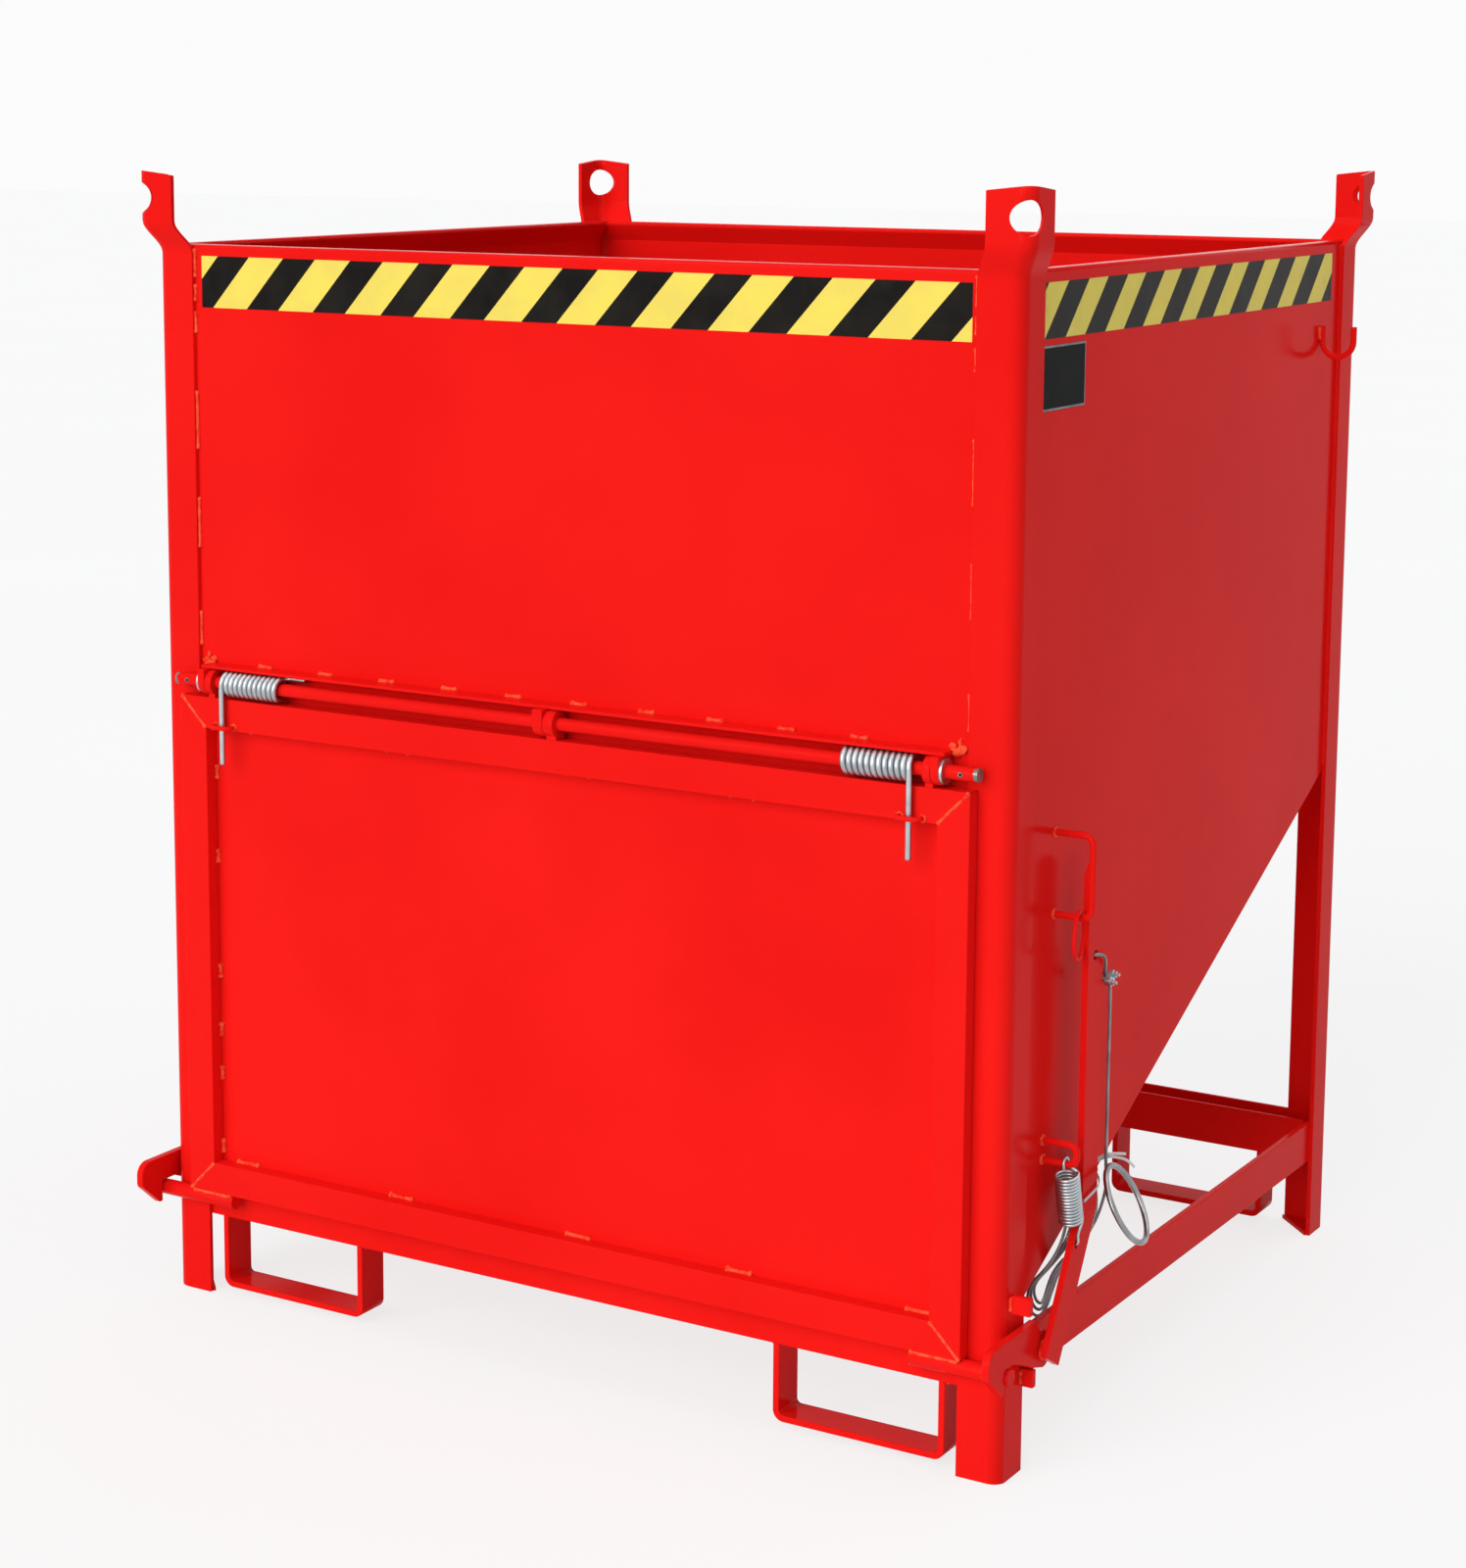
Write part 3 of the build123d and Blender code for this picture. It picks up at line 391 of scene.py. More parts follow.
def enamel(name, deep, bright, scale, low, high):
    material, tree, shader = new_material(name)
    place = place_of(tree)
    tint = ramp(tree, cloud(tree, place, scale), [(low, deep), (high, bright)])
    tree.links.new(tint, shader.inputs["Base Color"])
    tree.links.new(enamel_surface(tree, shader, place), shader.inputs["Roughness"])
    return material


def metal(name, dark, light, rough_low, rough_high, grain=260.0, depth=0.00003):
    material, tree, shader = new_material(name)
    place = place_of(tree)
    tint = ramp(tree, cloud(tree, place, METAL_TINT_SCALE), [(0.3, dark), (0.7, light)])
    rough = spread(tree, cloud(tree, place, METAL_GLOSS_SCALE), rough_low, rough_high)
    tree.links.new(tint, shader.inputs["Base Color"])
    tree.links.new(rough, shader.inputs["Roughness"])
    tree.links.new(bump(tree, cloud(tree, place, grain, 4.0), depth), shader.inputs["Normal"])
    shader.inputs["Metallic"].default_value = 1.0
    return material


def matt(name, dark, light, rough_low, rough_high, scale, depth, specular):
    """A plain finish with a slow change of tint and gloss."""
    material, tree, shader = new_material(name)
    place = place_of(tree)
    shade = cloud(tree, place, scale, 4.0)
    tree.links.new(ramp(tree, shade, [(0.35, dark), (0.65, light)]), shader.inputs["Base Color"])
    tree.links.new(spread(tree, shade, rough_low, rough_high), shader.inputs["Roughness"])
    tree.links.new(bump(tree, cloud(tree, place, scale * 12, 2.0), depth), shader.inputs["Normal"])
    shader.inputs["Specular IOR Level"].default_value = specular
    return material


def painted_rod():
    """The hinge rod: enamel along its length, bare steel where its ends were not painted."""
    material, tree, shader = new_material("hinge_rod_finish")
    place = place_of(tree)
    split = add_node(tree, "ShaderNodeSeparateXYZ")
    tree.links.new(place, split.inputs["Vector"])
    ragged = spread(tree, cloud(tree, place, 160.0), -BARE_ROD_RAGGED, BARE_ROD_RAGGED)
    reach = maths(tree, "ADD", maths(tree, "ABSOLUTE", split.outputs["X"]), ragged)
    bare = maths(tree, "GREATER_THAN", reach, BARE_ROD_FROM)
    red = ramp(tree, cloud(tree, place, TINT_SCALE), [(0.35, RED_DEEP), (0.65, RED_BRIGHT)])
    steel = ramp(tree, cloud(tree, place, METAL_GLOSS_SCALE), [(0.3, STEEL_DARK), (0.7, STEEL_LIGHT)])
    tree.links.new(blend_colours(tree, bare, red, steel), shader.inputs["Base Color"])
    tree.links.new(maths(tree, "MULTIPLY", bare, BARE_ROD_METAL), shader.inputs["Metallic"])
    tree.links.new(enamel_surface(tree, shader, place), shader.inputs["Roughness"])
    return material


def tape(name, axis, period, slant, start, share):
    """Striped vinyl. Axis, 0 or 1, runs along the tape; start is where one yellow stripe
    meets the level of the tape's top edge."""
    material, tree, shader = new_material(name)
    place = place_of(tree)
    split = add_node(tree, "ShaderNodeSeparateXYZ")
    tree.links.new(place, split.inputs["Vector"])
    drop = maths(tree, "MULTIPLY", split.outputs["Z"], slant)
    along = maths(tree, "SUBTRACT", split.outputs[axis], drop)
    turns = maths(tree, "DIVIDE", maths(tree, "SUBTRACT", along, start - TAPE_TOP * slant), period)
    black_here = maths(tree, "GREATER_THAN", maths(tree, "FRACT", turns), share)
    fade = cloud(tree, place, TAPE_FADE_SCALE, 5.0)
    yellow = ramp(tree, fade, [(0.35, TAPE_YELLOW_WORN), (0.65, TAPE_YELLOW)])
    black = ramp(tree, fade, [(0.35, TAPE_BLACK), (0.65, TAPE_BLACK_WORN)])
    tree.links.new(blend_colours(tree, black_here, yellow, black), shader.inputs["Base Color"])
    tree.links.new(spread(tree, fade, *TAPE_ROUGH), shader.inputs["Roughness"])
    waves = bump(tree, cloud(tree, place, TAPE_WAVE_SCALE, 2.0), TAPE_WAVE_DEPTH)
    tree.links.new(waves, shader.inputs["Normal"])
    shader.inputs["Specular IOR Level"].default_value = FILM_SPECULAR
    return material


RED = enamel("red_enamel", RED_DEEP, RED_BRIGHT, TINT_SCALE, 0.35, 0.65)
# The weld's paler orange spots are partly thinner paint and partly painted highlight
WELD = enamel("red_weld", WELD_DEEP, WELD_THIN_PAINT_AND_GLINT, 150.0, 0.30, 0.58)
ZINC = metal("zinc_plate", ZINC_DARK, ZINC_LIGHT, 0.34, 0.42, 260.0, 0.000006)
GALVANISED = metal("galvanised_wire", GALVANISED_DARK, GALVANISED_LIGHT, 0.22, 0.30, 260.0, 0.000004)
STEEL = metal("bare_steel", STEEL_DARK, STEEL_LIGHT, 0.28, 0.42)
ROPE = metal("wire_rope", GALVANISED_DARK, GALVANISED_LIGHT, 0.34, 0.50, 900.0)
PLATE = matt("plate_black", PLATE_DARK, PLATE_WORN, 0.34, 0.46, 30.0, 0.00003, PLATE_SPECULAR)
PLATE_RIM = metal("plate_rim", PLATE_EDGE, PLATE_EDGE_LIGHT, 0.34, 0.46)
TIE = matt("tie_plastic", TIE_DULL, TIE_PALE, 0.30, 0.42, 90.0, 0.00004, TIE_SPECULAR)
FRONT_TAPE = tape("tape_front", 0, 0.1028, 0.906, -0.4576, 0.52)
SIDE_TAPE = tape("tape_side", 1, 0.1054, 0.98, -0.4157, 0.485)


# Camera

def make_camera():
    yaw = math.radians(CAMERA_YAW)
    pitch = math.radians(CAMERA_PITCH)
    roll = math.radians(CAMERA_ROLL)
    level = math.cos(pitch)
    ahead = Vector((-math.sin(yaw) * level, math.cos(yaw) * level, -math.sin(pitch)))
    right = Vector((math.cos(yaw), math.sin(yaw), 0))
    down = ahead.cross(right)
    right_rolled = right * math.cos(roll) + down * math.sin(roll)
    down_rolled = down * math.cos(roll) - right * math.sin(roll)
    data = bpy.data.cameras.new("camera")
    data.lens = CAMERA_LENS
    data.sensor_width = CAMERA_SENSOR
    data.shift_x, data.shift_y = CAMERA_SHIFT
    camera = bpy.data.objects.new("camera", data)
    turn = Matrix((right_rolled, -down_rolled, -ahead)).transposed()
    camera.matrix_world = Matrix.Translation(CAMERA_AT) @ turn.to_4x4()
    bpy.context.scene.collection.objects.link(camera)
    bpy.context.scene.camera = camera


make_camera()


# Rope: from the hole in the lever, through its clip, down to the tied coil

ROPE_WIRE = 4.0
ROPE_STRANDS = 6
ROPE_LAY = 0.030
ROPE_STEP = 0.0024
ROPE_CORE = 1.05
ROPE_CORE_SIDES = 5
ROPE_STRAND_SIDES = 6
SPLINE_STEPS = 10
ROPE_HOLE = Vector((LEVER_MID, -325.57, 585.0))
ROPE_WAY = Vector((0, 0.7071, -0.7071))
ROPE_UP = Vector((0, 0.7071, 0.7071))
EYE_SIDE = 8.0
CLIP_SIDE = 2.4
ROPE_RUN = (626.4, -278.9)
COIL_Y = -287.5
COIL_LEAN = 0.345
COIL_LOOPS = 3
COIL_HALF = 47.0
COIL_HALF_STEP = 9.0
COIL_TOP = 318.0
COIL_CROSS = (224.0, 200.0)
COIL_BOTTOM = 150.0
COIL_BOTTOM_STEP = 7.0
COIL_CROWN = 601.0
COIL_CROWN_STEP = 6.6
COIL_TAIL = 11.0
# One turn of the hank from its rear side, going down first: x, share of the half width, height
COIL_TURN = (
    (598.0, 1.06, 224.0), (589.5, 1.05, 212.0), (579.5, 1.03, 200.0), (573.5, 0.97, 184.0),
    (571.5, 0.84, 165.0), (573.5, 0.52, 150.0), (576.0, 0.00, 148.0), (574.5, -0.52, 161.0),
    (574.0, -0.88, 182.0), (579.5, -1.00, 200.0), (589.5, -1.00, 212.0), (598.0, -1.00, 224.0),
    (607.0, -1.00, 243.0), (610.5, -1.00, 264.0), (610.5, -0.97, 287.0), (606.5, -0.81, 308.0),
    (602.0, -0.45, 320.5), (601.0, 0.00, 318.5),
    (604.0, 0.64, 303.0), (609.0, 1.00, 279.0), (610.0, 1.12, 255.0), (605.0, 1.10, 234.0),
)
COIL_CROWN_AT = 17
# The tie's strap, head and cut ends: width and thickness in metres, and the points the ends go through
TIE_STRAP = (0.0046, 0.0013)
TIE_HEAD = (0.0060, 0.0056)
TIE_HEAD_HEIGHTS = (-1.6, -1.0, 1.2, 1.9)
TIE_END = (0.0034, 0.0011)
TIE_STEPS = 40
TIE_ENDS = (
    ((621, -274, 331), (634, -262, 329), (640, -246, 322), (642, -232, 310)),
    ((620, -276, 333), (632, -264, 334), (641, -255, 332)),
    ((622, -293, 316), (630.5, -303, 308), (631, -322, 303), (631, -348, 300)),
)


def eye_point(across, along, lift=0.0):
    return ROPE_HOLE + Vector((across, 0, 0)) + ROPE_WAY * along + ROPE_UP * lift


def coil_points():
    """The leaning hank: each turn is narrower than the one before, and the last ends at its crown."""
    high, low = COIL_CROSS
    points = []
    for loop in range(COIL_LOOPS):
        for k, (x, share, z) in enumerate(COIL_TURN):
            past_crown = k > COIL_CROWN_AT
            if past_crown and loop == COIL_LOOPS - 1:
                break
            half = COIL_HALF - COIL_HALF_STEP * (loop + past_crown)
            if z < low:
                z += COIL_BOTTOM_STEP * loop * (low - z) / (low - COIL_BOTTOM)
            elif z > high:
                x += COIL_CROWN_STEP * loop * (z - high) / (COIL_TOP - high)
            points.append(Vector((x, COIL_Y + half * share - COIL_LEAN * (COIL_TOP - z), z)))
    return points


def spline_points(name, points):
    """Reads the centre line of a smooth spline whose control points are given in millimetres."""
    data = bpy.data.curves.new(name, "CURVE")
    data.dimensions = "3D"
    data.resolution_u = SPLINE_STEPS
    spline = data.splines.new("NURBS")
    spline.points.add(len(points) - 1)
    for target, point in zip(spline.points, points):
        target.co = (*(Vector(point) * 0.001), 1.0)
    spline.order_u = 3
    spline.use_endpoint_u = True
    holder = bpy.data.objects.new(name, data)
    bpy.context.scene.collection.objects.link(holder)
    bpy.context.view_layer.update()
    mesh = bpy.data.meshes.new_from_object(holder)
    result = [v.co.copy() for v in mesh.vertices]
    bpy.data.objects.remove(holder)
    bpy.data.curves.remove(data)
    bpy.data.meshes.remove(mesh)
    return result


def rope_mesh(name, points):
    """Six strands laid round a core along points."""
    strand = ROPE_WIRE * 0.001 / 6
    centre = even_points(points, ROPE_STEP)
    cross = frames_along(centre)
    step = path_length(centre) / (len(centre) - 1)
    bm = bmesh.new()
    add_tube(bm, centre, strand * ROPE_CORE, ROPE_CORE_SIDES, cross)
    for k in range(ROPE_STRANDS):
        line = []
        for i, (point, (u, v)) in enumerate(zip(centre, cross)):
            a = 2 * math.pi * (k / ROPE_STRANDS + i * step / ROPE_LAY)
            line.append(point + (u * math.cos(a) + v * math.sin(a)) * strand * 2)
        add_tube(bm, line, strand, ROPE_STRAND_SIDES)
    return object_from(name, bm, ROPE)


def long_leg_points():
    """The eye's outer side, the plumb run and the hank."""
    x, y = ROPE_RUN
    points = [
        eye_point(0, 0),
        eye_point(EYE_SIDE * 0.55, 0.5, 1.0),
        eye_point(EYE_SIDE, 6, 5.0),
        eye_point(EYE_SIDE, 15, 8.0),
        eye_point(EYE_SIDE * 0.85, 26, 6.5),
        eye_point(CLIP_SIDE * 1.5, 36, 2.5),
        eye_point(CLIP_SIDE, 44, 0.4),
        eye_point(CLIP_SIDE, 50),
        eye_point(CLIP_SIDE, 58),
        Vector((x, y, 538.3)),
        Vector((x, y, 520.0)),
        Vector((x, y, 430.0)),
        Vector((x, y, 345.0)),
        Vector((x, y, 318.0)),
        Vector((625.0, y + 7.0, 292.0)),
        Vector((614.0, y + 10.0, 256.0)),
        Vector((603.0, y + 10.0, 234.0)),
    ]
    points += coil_points()
    back = Vector((0, 1, -COIL_LEAN)).normalized()
    points.append(points[-1] + back * COIL_TAIL)
    return points


def short_leg_points():
    """The eye's inner side and the dead end past the clip."""
    return [
        eye_point(0, 0),
        eye_point(-EYE_SIDE * 0.55, 0.5, 1.0),
        eye_point(-EYE_SIDE, 6, 5.0),
        eye_point(-EYE_SIDE, 15, 8.0),
        eye_point(-EYE_SIDE * 0.85, 26, 6.5),
        eye_point(-CLIP_SIDE * 1.5, 36, 2.5),
        eye_point(-CLIP_SIDE, 44, 0.4),
        eye_point(-CLIP_SIDE, 50),
        eye_point(-CLIP_SIDE, 66),
    ]


def make_rope():
    line = spline_points("rope_line", long_leg_points())
    rope = rope_mesh("pull_rope_strands", line)
    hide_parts("pull_rope", "rope_coil")
    short_line = spline_points("rope_end_line", short_leg_points())
    tail = rope_mesh("rope_eye_strands", short_line)
    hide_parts("rope_eye")
    for piece in (rope, tail):
        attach(piece, "rope")
    carried = [nodes["clip_saddle"], nodes["clip_bolt"], make_tie(), make_pull_ring()]


def make_tie():
    """A plastic strap round the crowns of the hank, with its head and three cut ends."""
    back = Vector((0, 1, -COIL_LEAN)).normalized()
    up = Vector((1, 0, 0)).cross(back)
    first = Vector((COIL_CROWN, COIL_Y, COIL_TOP))
    run = COIL_CROWN_STEP * (COIL_LOOPS - 1)
    reach = ROPE_WIRE / 2 + 1.0
    loop = []
    for k in range(TIE_STEPS):
        a = 2 * math.pi * k / TIE_STEPS
        shift = run if math.cos(a) > 0 else 0.0
        across = Vector((shift + reach * math.cos(a), 0, 0))
        loop.append((first + across + up * reach * math.sin(a)) * 0.001)
    bm = bmesh.new()
    add_strip(bm, loop, back, *TIE_STRAP, closed=True)
    head = first + Vector((run * 0.72, 0, 0)) + up * (reach + 1.4)
    add_strip(bm, [(head + up * height) * 0.001 for height in TIE_HEAD_HEIGHTS], back, *TIE_HEAD)
    for end in TIE_ENDS:
        line = spline_points("tie_end_line", (head, *end))
        add_strip(bm, even_points(line, 0.0012), up, *TIE_END)
    tie = object_from("rope_tie_strap", bm, TIE)
    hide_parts("rope_tie")
    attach(tie, "rope")
    return tie


# Rings: mean radius and wire in millimetres, and the turn at which the butt joint lies

RING_STEPS = 120
RING_SIDES = 14
RING_JOINT = 0.07
PULL_RING = (47.0, 7.0)
PULL_RING_HEAD = Vector((632.2, -278.9, 323.0))
PULL_RING_HANG = Vector((0.492, -0.087, -0.866))
PULL_RING_LEVEL = Vector((0.10, -0.98, 0.15))
PULL_RING_JOINT = 0.86
LOCK_RING = (27.5, 5.0)
LOCK_RING_HEAD = Vector((626.0, GUARD_Y, 644.8))
LOCK_RING_TURN = 13.0
LOCK_RING_JOINT = 0.3


def ring_object(name, head, hang, level, size, material, joint):
    """A wire ring hung from its head, with the swell of its butt joint at the given turn."""
    mean, wire = size
    middle = head + hang * mean
    bm = bmesh.new()
    rings = []
    for i in range(RING_STEPS):
        a = 2 * math.pi * i / RING_STEPS
        out = level * math.sin(a) - hang * math.cos(a)
        apart = abs((a / (2 * math.pi) - joint + 0.5) % 1.0 - 0.5) * 2 * math.pi * mean
        radius = wire / 2 * (1 + RING_JOINT * math.exp(-(apart / wire * 2) ** 2))
        ring = []
        for k in range(RING_SIDES):
            b = 2 * math.pi * k / RING_SIDES
            offset = out * math.cos(b) + hang.cross(level) * math.sin(b)
            ring.append(bm.verts.new((middle + out * mean + offset * radius) * 0.001))
        rings.append(ring)
    join_rings(bm, rings, closed=True)
    return object_from(name, bm, material)


def square_to(level, hang):
    """The part of level that stands square to hang."""
    return (level - hang * level.dot(hang)).normalized()


def make_pull_ring():
    hang = PULL_RING_HANG.normalized()
    level = square_to(PULL_RING_LEVEL, hang)
    ring = ring_object("pull_ring_wire", PULL_RING_HEAD, hang, level, PULL_RING, GALVANISED,
                       PULL_RING_JOINT)
    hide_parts("pull_ring")
    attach(ring, "rope")
    return ring


def make_lock_ring():
    turn = math.radians(LOCK_RING_TURN)
    level = Vector((math.sin(turn), -math.cos(turn), 0))
    hang = Vector((0, 0, -1))
    ring = ring_object("lock_ring_wire", LOCK_RING_HEAD, hang, level, LOCK_RING, RED, LOCK_RING_JOINT)
    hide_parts("lock_ring")
    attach(ring, "lock_ring")


make_rope()
make_lock_ring()


# Springs

TORSION_WIRE = 7.0
TORSION_MEAN = 13.5
TORSION_PITCH = 7.55
TORSION_TURNS = 11
TORSION_INNER = 400.862
TORSION_LEG = 101.6
TORSION_STEP = 0.0018
TORSION_SIDES = 14
# The ends of a tail, then each spring's first quarter turn and its tail's place behind and above
TORSION_TAIL = (31.0, 9.0)
TORSION_TAILS = {"left": (0, 9.0, 13.5), "right": (-1, 13.5, -7.0)}
TENSION_WIRE = 3.6
TENSION_MEAN = 13.0
TENSION_PITCH = 4.15
TENSION_TURNS = 15
TENSION_START = 30.0
TENSION_SWING = math.radians(60.0)
TENSION_HOOK = 6.5
TENSION_LOW = Vector((LEVER_MID, -360.30, 250.86))
TENSION_HIGH = Vector((LEVER_MID, ANCHOR_Y, ANCHOR_HEIGHTS[0]))
TENSION_STEP = 0.0014
TENSION_SIDES = 12


def make_torsion_spring(side, sx):
    """Tail along the rod, coil round it, leg down the front of the flap."""
    mean, pitch, inner = TORSION_MEAN, TORSION_PITCH, TORSION_INNER
    hinge_y, hinge_z = HINGE
    first, behind, above = TORSION_TAILS[side]
    stations = []
    for before in TORSION_TAIL:
        place = mm(sx * (inner - before), hinge_y + behind, hinge_z + above)
        stations.append((place, Vector((sx, 0, 0))))
    for quarter in range(first, 4 * TORSION_TURNS + 2):
        a = quarter * math.pi / 2
        y = hinge_y - mean * math.sin(a)
        z = hinge_z + mean * math.cos(a)
        way = Vector((sx * pitch / (2 * math.pi), -mean * math.cos(a), -mean * math.sin(a)))
        stations.append((mm(sx * (inner + pitch * quarter / 4), y, z), way.normalized()))
    leg_x = inner + pitch * (TORSION_TURNS + 0.25) + 0.2
    for drop in (TORSION_WIRE, TORSION_LEG):
        stations.append((mm(sx * leg_x, hinge_y - mean, hinge_z - drop), Vector((0, 0, -1))))
    bm = bmesh.new()
    add_tube(bm, station_path(stations, TORSION_STEP), TORSION_WIRE * 0.0005, TORSION_SIDES)
    spring = object_from(f"torsion_wire_{side}", bm, ZINC)
    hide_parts(f"torsion_spring_{side}")
    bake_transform(spring)


def make_tension_spring():
    """Hook through the lever, close coil, hook round the staple."""
    wire, half, swing = TENSION_WIRE, TENSION_HOOK, TENSION_SWING
    way = (TENSION_HIGH - TENSION_LOW).normalized()
    side = Vector((1, 0, 0))
    beside = way.cross(side)
    span = (TENSION_HIGH - TENSION_LOW).length

    def at(across, over, along):
        return (TENSION_LOW + side * across + beside * over + way * along) * 0.001

    def turn_station(a):
        along = TENSION_START + TENSION_PITCH * (a - swing) / (2 * math.pi)
        lead = TENSION_PITCH / (2 * math.pi * TENSION_MEAN)
        tangent = beside * math.cos(a) - side * math.sin(a) + way * lead
        return at(TENSION_MEAN * math.cos(a), TENSION_MEAN * math.sin(a), along), tangent.normalized()

    stations = [
        (at(-half, 0, half + wire), -way),
        (at(-half, 0, half), -way),
        (at(half, 0, half), way),
        (at(half, 0, half + wire), way),
    ]
    for quarter in range(4 * TENSION_TURNS - 1):
        stations.append(turn_station(swing + quarter * math.pi / 2))
    stations.append(turn_station(2 * math.pi * TENSION_TURNS + math.pi / 2 - swing))
    stations.append((at(0, half, span - wire), way))
    stations.append((at(0, half, span), way))
    stations.append((at(0, -half, span), -way))
    stations.append((at(0, -half, span - wire), -way))
    bm = bmesh.new()
    add_tube(bm, station_path(stations, TENSION_STEP), wire * 0.0005, TENSION_SIDES)
    spring = object_from("tension_wire", bm, ZINC)
    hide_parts("tension_spring")
    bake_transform(spring)


make_torsion_spring("left", -1)
make_torsion_spring("right", 1)
make_tension_spring()


# Hooks of the latch: flat plates with a rounded nose and a hub round the shaft

HOOK_EDGE = 0.9
HOOK_HUB = 22.0
HOOK_HUB_FROM = 103.0
HOOK_HUB_TURN = -193.0
HOOK_HUB_STEPS = 24
CORNER_STEPS = 8
# The outline of a hook: y, z and the radius of each corner, up to its hub
HOOK_CORNERS = (
    ((-438.5, 126.0), 0.0),
    ((-489.5, 147.9), 5.0),
    ((-514.5, 147.9), 1.0),
    ((-514.5, 120.0), 1.4),
    ((-520.0, 120.0), 3.0),
    ((-554.5, 150.0), 9.0),
    ((-554.5, 180.0), 17.0),
    ((-427.5, 180.0), 5.0),
)


def rounded(corners):
    """The outline through corners, each a point and the radius that rounds it."""
    result = []
    for i, (corner, radius) in enumerate(corners):
        corner = Vector(corner)
        if radius == 0.0:
            result.append(corner)
            continue
        to_last = (Vector(corners[i - 1][0]) - corner).normalized()
        to_next = (Vector(corners[(i + 1) % len(corners)][0]) - corner).normalized()
        half = to_last.angle(to_next) / 2
        centre = corner + (to_last + to_next).normalized() * radius / math.sin(half)
        start = (corner + to_last * radius / math.tan(half) - centre).normalized()
        end = (corner + to_next * radius / math.tan(half) - centre).normalized()
        for k in range(CORNER_STEPS + 1):
            result.append(centre + start.slerp(end, k / CORNER_STEPS) * radius)
    return result


def make_hook(side, sx):
    outline = rounded(HOOK_CORNERS)
    for k in range(HOOK_HUB_STEPS + 1):
        a = math.radians(HOOK_HUB_FROM + HOOK_HUB_TURN * k / HOOK_HUB_STEPS)
        outline.append(Vector((SHAFT[0] + HOOK_HUB * math.cos(a), SHAFT[1] + HOOK_HUB * math.sin(a))))
    near, far = HOOK_SIDES
    layers = ((near, HOOK_EDGE), (near + HOOK_EDGE, 0.0), (far - HOOK_EDGE, 0.0), (far, HOOK_EDGE))
    bm = bmesh.new()
    rings = []
    for x, inset in layers:
        ring = []
        for i, point in enumerate(outline):
            run = (outline[(i + 1) % len(outline)] - outline[i - 1]).normalized()
            inner = point + Vector((run.y, -run.x)) * inset
            ring.append(bm.verts.new(mm(sx * x, inner.x, inner.y)))
        rings.append(ring)
    join_rings(bm, rings)
    hook = object_from(f"latch_hook_{side}", bm, RED, smooth=False)
    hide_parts(f"hook_{side}")
    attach(hook, "latch")


make_hook("left", -1)
make_hook("right", 1)


# Finish of the frame's own pieces

NODE_LOOKS = {
    "zinc_plate": ZINC,
    "wire_rope": ROPE,
    "bare_steel": STEEL,
    "red_paint": RED,
}
OWN_LOOKS = {
    "hinge_rod": painted_rod(),
    "split_pins": STEEL,
}
EDGE_SOFT = 0.0009
EDGE_SHARP = math.radians(50)
EDGE_JOIN = 0.00002
# Nodes of round wire or bar, which have no edges to soften
ROUND_NODES = ("hinge_rod", "lock_ring", "lever_guard", "rope_hook", "spring_anchor",
               "spring_staple_left", "spring_staple_right")


def soften_edges(obj):
    """Joins the mesh's faces and rounds their sharp edges a little."""
    obj.modifiers.new("join", "WELD").merge_threshold = EDGE_JOIN
    edge = obj.modifiers.new("edge", "BEVEL")
    edge.width = EDGE_SOFT
    edge.segments = 2
    edge.limit_method = "ANGLE"
    edge.angle_limit = EDGE_SHARP
    edge.harden_normals = True


def dress_frame():
    for part in frame["record"]["subparts"]:
        obj = nodes[part["node"]]
        look = OWN_LOOKS.get(part["node"], NODE_LOOKS[part["material_slot"]])
        if not obj.material_slots:
            obj.data.materials.append(look)
        for slot in obj.material_slots:
            slot.material = look
        if part["material_slot"] == "red_paint" and part["node"] not in ROUND_NODES:
            soften_edges(obj)


dress_frame()


# Tapes on the front panel and the right wall, and the bare plate under the right one

TAPE_THICK = 0.35
FRONT_TAPE_SPAN = (-533.0, 537.0)
SIDE_TAPE_SPAN = (-436.0, 453.0)
FRONT_TAPE_HEIGHTS = (1289.0, 1353.0)
SIDE_TAPE_HEIGHTS = (1290.5, 1352.0)
PLATE_SPAN = (-430.0, -318.0)
PLATE_HEIGHTS = (1211.5, 1283.0)
PLATE_BORDER = 2.4
PLATE_THICK = 0.8
PLATE_FACE_THICK = 0.95
SHEET_GRID = (48, 6)
SHEET_NOISE = 31.0
TAPE_UNEVEN = 0.35
ALONG_X = Vector((1, 0, 0))
ALONG_Y = Vector((0, 1, 0))
UPWARDS = Vector((0, 0, 1))


def sheet_piece(name, corner, along, size, thick, material, uneven):
    """A thin upright sheet: lower corner, direction, width and height in millimetres."""
    out = along.cross(UPWARDS)
    bm = bmesh.new()
    bmesh.ops.create_grid(bm, x_segments=SHEET_GRID[0], y_segments=SHEET_GRID[1], size=0.5)
    for v in bm.verts:
        a = (v.co.x + 0.5) * size[0]
        b = (v.co.y + 0.5) * size[1]
        v.co = (corner + along * a + UPWARDS * b) * 0.001
    extruded = bmesh.ops.extrude_face_region(bm, geom=bm.faces[:])
    for item in extruded["geom"]:
        if isinstance(item, bmesh.types.BMVert):
            lift = thick * (1 + uneven * noise.noise(item.co * SHEET_NOISE))
            item.co += out * lift * 0.001
    piece = object_from(name, bm, material, smooth=False)
    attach(piece, "frame")
    return piece


